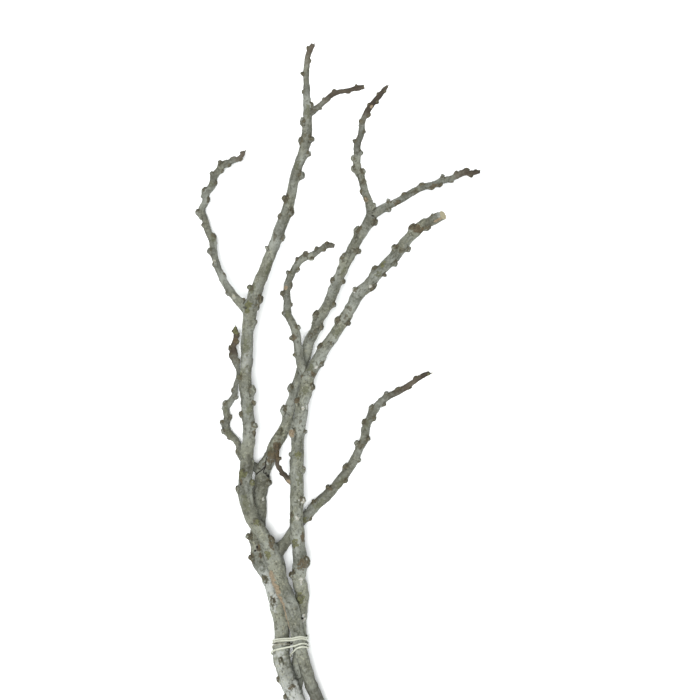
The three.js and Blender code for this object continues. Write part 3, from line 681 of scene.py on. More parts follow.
# The swelling under a spur: a ball drawn out backwards, so that it rises slowly and ends at once.
def modelSwelling():
    shape = swellingShape
    clearSelection()
    bpy.ops.mesh.primitive_uv_sphere_add(
        segments=shape["sides"], ring_count=shape["rings"], radius=1, location=(0, 0, 0)
    )
    swelling = bpy.context.object
    swelling.name = "swelling"
    bpy.ops.object.mode_set(mode="EDIT")
    bpy.ops.mesh.select_all(action="SELECT")
    bpy.ops.transform.resize(value=shape["size"])
    bpy.ops.mesh.select_all(action="DESELECT")
    bpy.ops.object.mode_set(mode="OBJECT")
    for vertex in swelling.data.vertices:
        vertex.select = vertex.co.y < shape["tailFrom"]
    bpy.ops.object.mode_set(mode="EDIT")
    bpy.ops.transform.resize(
        value=(1.0, shape["tail"], 1.0), center_override=(0, shape["tailFrom"], 0)
    )
    bpy.ops.object.mode_set(mode="OBJECT")
    return swelling


# Each copy is a little wider, longer or taller than the next, so that none looks like another.
def placeCopy(model, station, side, size, depth):
    out = outward(station, side)
    cross = station["tangent"].cross(out)
    spot = station["at"] + out * (station["radius"] - depth * size * mm)
    copy = model.copy()
    copy.data = model.data.copy()
    scene.collection.objects.link(copy)
    turn = Matrix((cross, station["tangent"], out)).transposed().to_4x4()
    stretch = []
    for usual, spread, draw in copyShape.values():
        odd = noise.noise(Vector((station["place"] * copyChange, side, draw)))
        stretch.append(usual + odd * spread)
    grow = Matrix.Diagonal((*stretch, 1))
    copy.matrix_world = Matrix.Translation(spot) @ turn @ grow @ Matrix.Scale(size * mm, 4)
    return copy


# ------------------------------------------------ ends of the limbs
# A spike is length, radius and the side in degrees that it leans to.

limbEnds = {
    "left_leader": {"kind": "broken", "spike": (5.5, 1.1, 35)},
    "left_twig": {"kind": "broken", "spike": (4.5, 1.0, 20)},
    "left_side_limb": {"kind": "broken", "spike": (7, 1.0, 0)},
    "middle_left_twig": {"kind": "broken", "spike": (6, 1.2, 60)},
    "middle_right_twig": {"kind": "broken", "spike": (5, 1.0, 200)},
    "middle_curly_twig": {"kind": "broken", "spike": (4, 1.0, 10)},
    "right_curved_twig": {"kind": "broken", "spike": (2.5, 1.0, 200)},
    "right_spur_twig": {"kind": "broken", "spike": (2, 0.8, 90)},
    "left_leader_twig": {"kind": "cut"},
    "right_leader": {"kind": "sawn", "tilt": 22},
}

spikeShape = {"sides": 10, "buried": 3, "taper": 0.35, "lean": 0.28, "aside": 0.35}


def endKind(name):
    return limbEnds.get(name, {}).get("kind")


# The point and the outward direction of a slanted saw cut.
def sawPlane(name, walk):
    tilt = math.radians(limbEnds[name]["tilt"])
    tip = walk[-1]
    aim = tip["tangent"] * math.cos(tilt) + tip["over"] * math.sin(tilt)
    return tip["at"] - tip["tangent"] * tip["radius"] * math.tan(tilt), aim


def sawTube(name, walk):
    spot, aim = sawPlane(name, walk)
    bpy.ops.object.mode_set(mode="EDIT")
    bpy.ops.mesh.select_all(action="SELECT")
    bpy.ops.mesh.bisect(plane_co=spot, plane_no=aim, use_fill=True, clear_outer=True)
    bpy.ops.object.mode_set(mode="OBJECT")


def modelSpike(name, walk):
    length, radius, side = limbEnds[name]["spike"]
    tip = walk[-1]
    out = outward(tip, side)
    aim = (tip["tangent"] + out * spikeShape["lean"]).normalized()
    buried = spikeShape["buried"]
    clearSelection()
    bpy.ops.mesh.primitive_cone_add(
        vertices=spikeShape["sides"],
        radius1=radius * mm,
        radius2=spikeShape["taper"] * radius * mm,
        depth=(length + buried) * mm,
    )
    spike = bpy.context.object
    spike.name = name + "_spike"
    start = tip["at"] + out * tip["radius"] * spikeShape["aside"]
    turn = aim.to_track_quat("Z", "Y").to_matrix().to_4x4()
    spike.matrix_world = Matrix.Translation(start + aim * (length - buried) / 2 * mm) @ turn
    return spike


bumps = {
    "seed": 4,
    "every": (6, 13),
    "share": (0.2, 0.36),  # of the limb's radius
    "least": 1.0,
    "depth": 0.6,
    "first": 16,
    "firstSpread": (0.7, 1.2),
    "beforeTip": 3,
}


# Low swellings all round the limb, between the knobs.
def smallBumps(name, walk):
    dice = random.Random(bumps["seed"] + list(limbs).index(name))
    found = []
    along = bumps["first"] * dice.uniform(*bumps["firstSpread"])
    while along * mm < walk[-1]["along"] - bumps["beforeTip"] * mm:
        station = min(walk, key=lambda here: abs(here["along"] - along * mm))
        size = station["radius"] / mm * dice.uniform(*bumps["share"])
        found.append((station["place"], dice.uniform(0, 360), max(size, bumps["least"])))
        along += dice.uniform(*bumps["every"])
    return found


def growBranch(branchName, walks, models):
    parts = []
    for name in branches[branchName]:
        walk = walks[name]
        parts.append(growTube(name, walk))
        if endKind(name) == "sawn":
            sawTube(name, walk)
        for place, side, kind, size in limbs[name]["knobs"]:
            station = stationAt(walk, place)
            parts.append(placeCopy(models[kind], station, side, size, growth["knobDepth"]))
            under = growth["swellingDepth"]
            parts.append(placeCopy(models["swelling"], station, side, size, under))
        for place, side, size in smallBumps(name, walk):
            station = stationAt(walk, place)
            parts.append(placeCopy(models["swelling"], station, side, size, bumps["depth"]))
        if endKind(name) == "broken":
            parts.append(modelSpike(name, walk))
    branch = joinAll(parts, branchName + "Branch")
    skin = {"mode": "VOXEL", "voxel_size": growth["skin"] * mm}
    applyModifier(branch, "REMESH", skin)
    applyModifier(branch, "SMOOTH", {"factor": 0.5, "iterations": growth["smoothing"]})
    return branch


# ------------------------------------------------ measuring and wrinkling the bark


def readVertices(thing, key="co"):
    numbers = np.empty(len(thing.data.vertices) * 3)
    thing.data.vertices.foreach_get(key, numbers)
    return numbers.reshape(-1, 3)


# For each vertex: which limb it belongs to, and where it stands on that limb, laid out straight.
def straighten(spots, names, walks):
    stations = [(index, station) for index, name in enumerate(names) for station in walks[name]]
    at = np.array([station["at"] for _, station in stations])
    radius = np.array([station["radius"] for _, station in stations])
    nearest = np.empty(len(spots), dtype=int)
    batch = 4000
    for start in range(0, len(spots), batch):
        part = spots[start:start + batch]
        square = (part**2).sum(1)[:, None] + (at**2).sum(1)[None] - 2 * part @ at.T
        distance = np.sqrt(np.maximum(square, 0))
        nearest[start:start + batch] = (distance - radius[None]).argmin(1)
    limbIndex = np.array([index for index, _ in stations])[nearest]
    off = spots - at[nearest]

    def gather(key):
        return np.array([station[key] for _, station in stations])[nearest]

    tangent = gather("tangent")
    measured = {
        "limb": limbIndex,
        "radius": radius[nearest],
        "along": gather("along") + (off * tangent).sum(1),
        "across": (off * gather("right")).sum(1),
        "above": (off * gather("over")).sum(1),
        "place": gather("place"),
        "seed": gather("seed"),
    }
    measured["angle"] = np.arctan2(measured["above"], measured["across"])
    return measured


def noiseOver(measured, length, stretch, shift):
    width = length * mm
    across = measured["across"] / width
    along = measured["along"] / width * stretch + measured["seed"] + shift
    above = measured["above"] / width
    return np.array([noise.noise(Vector(spot)) for spot in zip(across, along, above)])


# How far each vertex lies under (or over) the even surface around it, in millimetres.
def measureHollows(branch, rounds):
    spots = readVertices(branch)
    normals = readVertices(branch, "normal")
    ends = np.empty(len(branch.data.edges) * 2, dtype=int)
    branch.data.edges.foreach_get("vertices", ends)
    first, second = ends[0::2], ends[1::2]
    count = len(spots)
    friends = np.bincount(first, minlength=count) + np.bincount(second, minlength=count)
    even = spots.copy()
    for _ in range(rounds):
        for axis in range(3):
            total = np.bincount(first, even[second, axis], count)
            total += np.bincount(second, even[first, axis], count)
            even[:, axis] = total / np.maximum(friends, 1)
    return ((even - spots) * normals).sum(1) / mm


def wrinkleBark(branch, measured, tone):
    spots = readVertices(branch)
    normals = readVertices(branch, "normal")
    tieFrom = (growth["tieFrom"] + middle.y) * mm
    tieTo = (growth["tieTo"] + middle.y) * mm
    fade = growth["tieFade"] * mm
    tied = smoothStep(spots[:, 1], tieFrom - fade, tieFrom)
    tied *= smoothStep(-spots[:, 1], -tieTo - fade, -tieTo)
    lumpLength, lumpHeight = growth["lumps"]
    foldLength, foldHeight = growth["folds"]
    grainLength, grainHeight = growth["grain"]
    stretch = growth["foldStretch"]
    rise = noiseOver(measured, lumpLength, 0.8, 0) * lumpHeight
    folds = noiseOver(measured, foldLength * stretch, stretch, 31)
    rough = growth["foldShare"] + (1 - growth["foldShare"]) * tone
    rise += (0.5 - np.abs(folds) * 2) * foldHeight * rough
    rise += noiseOver(measured, grainLength, 1, 57) * grainHeight
    rise *= 1 - growth["tieWear"] * tied
    rise -= measured["sunk"]
    spots += normals * rise[:, None] * mm
    spots[:, 2] = np.maximum(spots[:, 2], growth["floorGap"] * mm)
    branch.data.vertices.foreach_set("co", spots.ravel())
    branch.data.update()


# ------------------------------------------------ masks for the bark's colours

markKinds = (
    "lichen", "moss", "rust", "tan", "pale", "crust", "dark", "hole", "tone", "fair",
)
markEdges = {  # masks fade out between these two reaches
    "ragged": (3.2, 0.9),  # length and height of the uneven rim
    "smoother": {"tan": 0.45},
    "mark": (1.25, 0.55),
    "knob": (2.1, 1.05),
    "knobRagged": 0.7,
    "knobAbove": 0.25,
    "knobAhead": 0.3,
    "knobLong": 0.55,
    "youth": (-0.8, 1.6),
    "butt": (0.4, 0.1),
    "sawn": (-0.5, -0.2),
    "broken": (1.4, 2.4),
    "nearTip": 12,
}
cracks = {  # where the wood split at the middle fork, as runs of x, y
    "depth": 1.5,
    "width": 0.75,
    "stray": 1.6,
    "strayLength": 2.4,
    "edge": (1.3, 0.2),
    "runs": [
        [(-104.5, -137), (-98, -132), (-92.5, -127)],
        [(-91.5, -116.5), (-93, -123), (-92.5, -127), (-95, -133), (-87.5, -140)],
        [(-102.5, -122), (-97.5, -117), (-93.5, -112)],
    ],
}


def distanceToRun(spots, run):
    best = np.full(len(spots), 1e9)
    for first, second in zip(run, run[1:]):
        start = np.array([first[0] + middle.x, first[1] + middle.y]) * mm
        way = np.array([second[0] + middle.x, second[1] + middle.y]) * mm - start
        share = np.clip(((spots - start) @ way) / (way @ way), 0, 1)
        off = spots - start - share[:, None] * way
        best = np.minimum(best, np.linalg.norm(off, axis=1))
    return best


# A mark is an oval on the bark, laid out along the limb and round it.
def markShade(measured, station, mark, ragged):
    _, side, kind, long, wide = mark
    turn = measured["angle"] - math.radians(side)
    turn = (turn + math.pi) % (2 * math.pi) - math.pi
    alongOff = (measured["along"] - station["along"]) / (long * mm)
    sideOff = turn * measured["radius"] / (wide * mm)
    reach = np.hypot(alongOff, sideOff) + ragged * markEdges["smoother"].get(kind, 1)
    outer, inner = markEdges["mark"]
    return smoothStep(-reach, -outer, -inner)


# A knob darkens its head and the bark just around it.
def knobShade(spots, station, knob, ragged):
    place, side, _, size = knob
    out = outward(station, side)
    head = station["at"] + out * (station["radius"] + markEdges["knobAbove"] * size * mm)
    head = np.array(head + station["tangent"] * size * markEdges["knobAhead"] * mm)
    off = spots - head
    along = off @ np.array(station["tangent"])
    reach = np.sqrt((off**2).sum(1) - markEdges["knobLong"] * along**2) / (size * mm)
    strength = 0.8 + 0.2 * math.sin(place * 5.3 + side)  # uneven from knob to knob
    outer, inner = markEdges["knob"]
    return smoothStep(-reach + ragged * markEdges["knobRagged"], -outer, -inner) * strength


# Where the bark gives way to bare wood, at a cut, sawn or broken end and at the butts.
def cutShade(name, walk, spots, measured):
    ending = endKind(name)
    along = measured["along"]
    end = walk[-1]["along"]
    outer, inner = (edge * mm for edge in markEdges["butt"])
    cut = np.zeros(len(spots))
    if ending == "sawn":
        spot, aim = sawPlane(name, walk)
        beyond = (spots - np.array(spot)) @ np.array(aim)
        low, high = (edge * mm for edge in markEdges["sawn"])
        cut += (along > end - markEdges["nearTip"] * mm) * smoothStep(beyond, low, high)
    if ending == "cut":
        cut += smoothStep(along, end - outer, end - inner)
    if ending == "broken":
        low, high = (edge * mm for edge in markEdges["broken"])
        cut += smoothStep(along, end + low, end + high)
    if name.endswith("stem"):
        cut += smoothStep(-along, -outer, -inner)
    return cut


def paintMarks(spots, measured, names, walks):
    masks = {kind: np.zeros(len(spots)) for kind in markKinds + ("knob", "youth", "cut")}
    length, height = markEdges["ragged"]
    ragged = noiseOver(measured, length, 1, 11) * height
    for index, name in enumerate(names):
        own = measured["limb"] == index
        limb = limbs[name]
        walk = walks[name]
        for mark in limb["marks"]:
            kind = mark[2]
            shade = markShade(measured, stationAt(walk, mark[0]), mark, ragged) * own
            masks[kind] = np.maximum(masks[kind], shade)
        for knob in limb["knobs"]:
            shade = knobShade(spots, stationAt(walk, knob[0]), knob, ragged)
            masks["knob"] = np.maximum(masks["knob"], shade)
        share = measured["along"] / walk[-1]["along"]
        tone = own * limb["tone"] * (0.7 + 0.6 * share)  # darker toward the tip
        masks["tone"] = np.maximum(masks["tone"], tone)
        if "youth" in limb:
            low, high = markEdges["youth"]
            start = limb["youth"]
            fresh = smoothStep(measured["place"] + ragged, start + low, start + high)
            masks["youth"] = np.maximum(masks["youth"], fresh * own)
        masks["cut"] += own * cutShade(name, walk, spots, measured)
    return masks


def writeMask(branch, name, values):
    attribute = branch.data.attributes.new(name, "FLOAT", "POINT")
    attribute.data.foreach_set("value", np.clip(values, -1, 1).astype(np.float32))


def writePlaces(branch, measured):
    places = np.stack([measured["across"], measured["along"], measured["above"]], 1)
    places[:, 1] += measured["seed"] * 0.05
    attribute = branch.data.attributes.new("limbPlace", "FLOAT_VECTOR", "POINT")
    attribute.data.foreach_set("vector", places.astype(np.float32).ravel())


def finishBranch(branch, branchName, walks):
    names = branches[branchName]
    measured = straighten(readVertices(branch), names, walks)
    spots = readVertices(branch)
    masks = paintMarks(spots, measured, names, walks)
    measured["sunk"] = masks["hole"] * growth["holeDepth"]
    if branchName == "middle":
        for run in cracks["runs"]:
            stray = noiseOver(measured, cracks["strayLength"], 1, 3)[:, None] * cracks["stray"] * mm
            reach = distanceToRun(spots[:, :2] + stray, run) / (cracks["width"] * mm)
            outer, inner = cracks["edge"]
            split = smoothStep(-reach, -outer, -inner) * (measured["above"] > 0)
            measured["sunk"] += split * cracks["depth"]
            # the cracks take the holes' near-black painted shade
            masks["hole"] = np.maximum(masks["hole"], split)
    wrinkleBark(branch, measured, np.clip(masks["tone"] + 0.2, 0, 1))
    masks["hollow"] = measureHollows(branch, growth["hollowRounds"])
    writePlaces(branch, measured)
    for name, values in masks.items():
        writeMask(branch, name, values)
    return measured


# ------------------------------------------------ splitting a branch into its limbs


def splitBranch(branch, branchName, measured):
    names = branches[branchName]
    branch.data.materials.clear()
    for name in names:
        branch.data.materials.append(bpy.data.materials.new("limb:" + name))
    limbOf = measured["limb"]
    for polygon in branch.data.polygons:
        owners = [limbOf[vertex] for vertex in polygon.vertices]
        polygon.material_index = int(max(set(owners), key=owners.count))
        polygon.use_smooth = True
    pick(branch)
    bpy.ops.object.mode_set(mode="EDIT")
    bpy.ops.mesh.separate(type="MATERIAL")
    bpy.ops.object.mode_set(mode="OBJECT")
    pieces = {}
    for thing in list(bpy.context.selected_objects):
        material = thing.data.materials[0].name
        pieces[material.split(":")[1]] = thing
    for name, thing in pieces.items():
        closeFoot(thing)
    return pieces


# The open foot of a limb is drawn inward to one point, so that the limb is closed.
def closeFoot(thing):
    pick(thing)
    bpy.ops.object.mode_set(mode="EDIT")
    bpy.ops.mesh.select_mode(type="EDGE")
    bpy.ops.mesh.select_all(action="DESELECT")
    bpy.ops.mesh.select_non_manifold(extend=False, use_boundary=True, use_wire=False,
                                     use_multi_face=False, use_non_contiguous=False,
                                     use_verts=False)
    bpy.ops.mesh.mark_sharp()
    bpy.ops.mesh.extrude_edges_move()
    bpy.ops.mesh.merge(type="COLLAPSE")
    bpy.ops.mesh.select_all(action="SELECT")
    bpy.ops.mesh.normals_make_consistent(inside=False)
    bpy.ops.object.mode_set(mode="OBJECT")


# ------------------------------------------------ shader building blocks


def putNode(tree, kind, settings=None, feeds=None):
    node = tree.nodes.new(kind)
    for key, value in (settings or {}).items():
        setattr(node, key, value)
    for socket, value in (feeds or {}).items():
        if isinstance(value, bpy.types.NodeSocket):
            tree.links.new(value, node.inputs[socket])
        else:
            node.inputs[socket].default_value = value
    return node


def blendColour(tree, amount, below, above, mode="MIX"):
    feeds = {0: amount, 6: below, 7: above}
    settings = {"data_type": "RGBA", "blend_type": mode}
    return putNode(tree, "ShaderNodeMix", settings, feeds).outputs[2]


def ramp(tree, value, low, high, bottom=0.0, top=1.0):
    feeds = {"Value": value, "From Min": low, "From Max": high, "To Min": bottom, "To Max": top}
    settings = {"interpolation_type": "SMOOTHSTEP"}
    return putNode(tree, "ShaderNodeMapRange", settings, feeds).outputs["Result"]


def calculate(tree, operation, first, second=0.0, clamp=False):
    settings = {"operation": operation, "use_clamp": clamp}
    return putNode(tree, "ShaderNodeMath", settings, {0: first, 1: second}).outputs[0]


def speckNoise(tree, place, scale, detail=3.0, rough=0.6):
    feeds = {"Vector": place, "Scale": scale, "Detail": detail, "Roughness": rough}
    return putNode(tree, "ShaderNodeTexNoise", None, feeds).outputs["Fac"]


def stretched(tree, place, scale):
    settings = {"vector_type": "POINT"}
    feeds = {"Vector": place, "Scale": scale}
    return putNode(tree, "ShaderNodeMapping", settings, feeds).outputs["Vector"]


def newGroup(name, inputs, outputs):
    tree = bpy.data.node_groups.new(name, "ShaderNodeTree")
    for socket, kind, value in inputs:
        made = tree.interface.new_socket(socket, in_out="INPUT", socket_type=kind)
        if value is not None:
            made.default_value = value
    for socket, kind in outputs:
        tree.interface.new_socket(socket, in_out="OUTPUT", socket_type=kind)
    start = tree.nodes.new("NodeGroupInput").outputs
    end = tree.nodes.new("NodeGroupOutput").inputs
    return tree, start, end


def useGroup(tree, group, feeds):
    node = tree.nodes.new("ShaderNodeGroup")
    node.node_tree = group
    for socket, value in feeds.items():
        if isinstance(value, bpy.types.NodeSocket):
            tree.links.new(value, node.inputs[socket])
        else:
            node.inputs[socket].default_value = value
    return node.outputs


# stretch across, along and above the limb, scale, detail, roughness, and the range that shows
grainLayers = {
    "Mottle": ((1, 0.55, 1), 85, 4, 0.62, 0.34, 0.66),
    "Drift": ((1, 0.7, 1), 34, 3, 0.6, 0.4, 0.62),
    "Fibre": ((1, 0.2, 1), 430, 3, 0.6, 0.3, 0.7),
    "Speck": ((1, 0.8, 1), 330, 3, 0.7, 0.5, 0.66),
    "Crumb": ((1, 0.9, 1), 560, 2, 0.6, 0.52, 0.68),
}
pores = {"stretch": (0.7, 1.2, 0.7), "scale": 260, "rim": 0.34, "pit": 0.12}
grainHeights = {"Fibre": 0.6, "Speck": 0.5, "Pore": 0.18}


# Unevenness of bark, read along the straightened limb.
def makeBarkGrain():
    outputs = list(grainLayers) + ["Pore", "Height"]
    tree, start, end = newGroup(
        "barkGrain",
        [("Place", "NodeSocketVector", None), ("Size", "NodeSocketFloat", 1.0)],
        [(name, "NodeSocketFloat") for name in outputs],
    )
    scaled = putNode(tree, "ShaderNodeVectorMath", {"operation": "SCALE"},
                     {0: start["Place"], "Scale": start["Size"]}).outputs[0]
    layers = {}
    for name, (stretch, scale, detail, rough, low, high) in grainLayers.items():
        layers[name] = speckNoise(tree, stretched(tree, scaled, stretch), scale, detail, rough)
        tree.links.new(ramp(tree, layers[name], low, high), end[name])
    cells = putNode(tree, "ShaderNodeTexVoronoi", {"feature": "F1"},
                    {"Vector": stretched(tree, scaled, pores["stretch"]), "Scale": pores["scale"]})
    layers["Pore"] = ramp(tree, cells.outputs["Distance"], pores["rim"], pores["pit"])
    tree.links.new(layers["Pore"], end["Pore"])
    height = 0.0
    for name, share in grainHeights.items():
        height = calculate(tree, "ADD", calculate(tree, "MULTIPLY", layers[name], share), height)
    tree.links.new(height, end["Height"])
    return tree


patchEdge = {
    "detail": 3.0,
    "spread": 4.0,  # how far the bite reaches in from the rim
    "start": (0.02, 0.25),
    "rim": (0.3, 0.75),
    "shade": (0.35, 0.65),
}


# A patch that is eaten away at its rim, and its own light and dark.
def makePatchEdge():
    tree, start, end = newGroup(
        "patchEdge",
        [("Place", "NodeSocketVector", None), ("Cover", "NodeSocketFloat", 0.0),
         ("Grain", "NodeSocketFloat", 300.0), ("Bite", "NodeSocketFloat", 0.5)],
        [("Mask", "NodeSocketFloat"), ("Shade", "NodeSocketFloat")],
    )
    feeds = {"Vector": start["Place"], "Scale": start["Grain"], "Detail": patchEdge["detail"]}
    crumbs = putNode(tree, "ShaderNodeTexNoise", None, feeds).outputs["Fac"]
    bite = calculate(tree, "MULTIPLY", calculate(tree, "SUBTRACT", crumbs, 0.5), start["Bite"])
    bite = calculate(tree, "MULTIPLY", bite, patchEdge["spread"])
    eaten = calculate(tree, "ADD", start["Cover"], bite)
    present = ramp(tree, start["Cover"], *patchEdge["start"])
    mask = calculate(tree, "MULTIPLY", ramp(tree, eaten, *patchEdge["rim"]), present)
    tree.links.new(mask, end["Mask"])
    tree.links.new(ramp(tree, crumbs, *patchEdge["shade"]), end["Shade"])
    return tree


ringShape = {
    "flatten": 0.05,  # how little the pattern changes along the limb
    "wave": 110,
    "waveDepth": 2.6,
    "check": 420,
    "checkRange": (0.62, 0.7),
}


# Year rings and fine checks of a cut end.
def makeCutRings():
    tree, start, end = newGroup(
        "cutRings",
        [("Place", "NodeSocketVector", None), ("Spacing", "NodeSocketFloat", 1.1)],
        [("Ring", "NodeSocketFloat"), ("Check", "NodeSocketFloat")],
    )
    flat = stretched(tree, start["Place"], (1, ringShape["flatten"], 1))
    wavy = speckNoise(tree, flat, ringShape["wave"])
    wave = calculate(tree, "MULTIPLY", wavy, ringShape["waveDepth"])
    length = putNode(tree, "ShaderNodeVectorMath", {"operation": "LENGTH"},
                     {0: stretched(tree, start["Place"], (1, 0, 1))}).outputs["Value"]
    spread = calculate(tree, "MULTIPLY_ADD", length, 1000.0)  # in millimetres
    tree.links.new(wave, spread.node.inputs[2])
    turns = calculate(tree, "DIVIDE", spread, start["Spacing"])
    ring = calculate(tree, "PINGPONG", turns, 1.0)
    tree.links.new(ring, end["Ring"])
    checks = speckNoise(tree, flat, ringShape["check"], 2)
    tree.links.new(ramp(tree, checks, *ringShape["checkRange"]), end["Check"])
    return tree


# ------------------------------------------------ materials

barkColours = {
    "light": (0.222, 0.234, 0.206, 1),
    "deep": (0.06, 0.063, 0.047, 1),
    "speckLightAndHighlight": (0.268, 0.28, 0.255, 1),
    "speckDarkAndShade": (0.035, 0.034, 0.023, 1),
    "crumb": (0.3, 0.295, 0.215, 1),
    "fair": (0.325, 0.338, 0.318, 1),
    "toneDark": (0.058, 0.057, 0.043, 1),
    "drift": (0.143, 0.146, 0.1, 1),
    "young": (0.028, 0.02, 0.013, 1),
    "youngLight": (0.074, 0.059, 0.042, 1),
    "knob": (0.022, 0.018, 0.01, 1),
    "knobLight": (0.082, 0.073, 0.045, 1),
    "lichen": (0.109, 0.111, 0.054, 1),
    "lichenDark": (0.057, 0.057, 0.023, 1),
    "moss": (0.099, 0.104, 0.065, 1),
    "mossDark": (0.052, 0.052, 0.028, 1),
    "rust": (0.08, 0.06, 0.032, 1),
    "rustDark": (0.042, 0.031, 0.017, 1),
    "tan": (0.225, 0.18, 0.12, 1),
    "tanDark": (0.152, 0.115, 0.072, 1),
    "pale": (0.264, 0.251, 0.196, 1),
    "crust": (0.383, 0.39, 0.369, 1),
    # near black: painted shade inside holes and the fork's cracks
    "hole": (0.012, 0.01, 0.008, 1),
    "wood": (0.31, 0.285, 0.195, 1),
    "woodRing": (0.25, 0.215, 0.13, 1),
}

barkLooks = {
    "left": {"light": 1.04, "grain": 0.85, "fleck": 0.62, "roughness": 0.78},
    "middle": {"light": 1.02, "grain": 0.8, "fleck": 0.72, "roughness": 0.82},
    "right": {"light": 1.04, "grain": 0.9, "fleck": 0.75, "roughness": 0.8},
}

barkAmounts = {  # how strongly each layer covers the ones below it
    "fibre": 0.35,
    "drift": 0.6,
    "pore": 0.2,
    # painted shade in the hollows, and painted highlight on what stands out
    "hollowShade": 0.85,
    "wearAndPaintedLight": 0.18,
    "youth": 0.92,
    "knob": 0.93,
    "check": 0.6,
    "coverHeight": 0.5,
    "roughSpread": 0.1,
    "specular": 0.25,
}

barkRanges = {  # from and to, and what they become
    "fairByMottle": (-0.6, 1.2, 0.15, 0.95),
    "toneByMottle": (1.9, -0.6),
    "crumbByDrift": (-0.5, 1.2, 0.1, 0.6),
    "crumbByTone": (1.0, 0.1, 0.35, 1.0),
    # painted shade in the hollows, and painted highlight on what stands out
    "hollowShade": (0.0, 0.32),
    "wearAndPaintedLight": (-0.06, -0.5),
    "ring": (0.3, 1),
    "cut": (0.3, 0.7),
    "hole": (0.2, 0.7),
}

barkBump = {"Strength": 0.6, "Distance": 0.0006}
ringSpacing = 0.85

# mask, grain, bite at the rim, bright and dim colour, strength
barkPatches = (
    ("moss", 480.0, 0.95, "moss", "mossDark", 0.75),
    # dark bark, and on the left stem one mark of painted shade in a crevice
    ("dark", 380.0, 0.6, "knobLight", "knob", 0.7),
    ("pale", 500.0, 0.3, "pale", "light", 0.85),
    ("tan", 420.0, 0.12, "tan", "tanDark", 0.95),
    ("rust", 460.0, 0.9, "rust", "rustDark", 0.85),
    ("lichen", 480.0, 0.55, "lichen", "lichenDark", 0.9),
    ("crust", 600.0, 0.5, "crust", "pale", 0.9),
)
knobPatch = {"Grain": 430.0, "Bite": 0.6}


def readMask(tree, name):
    return putNode(tree, "ShaderNodeAttribute", {"attribute_name": name}).outputs["Fac"]


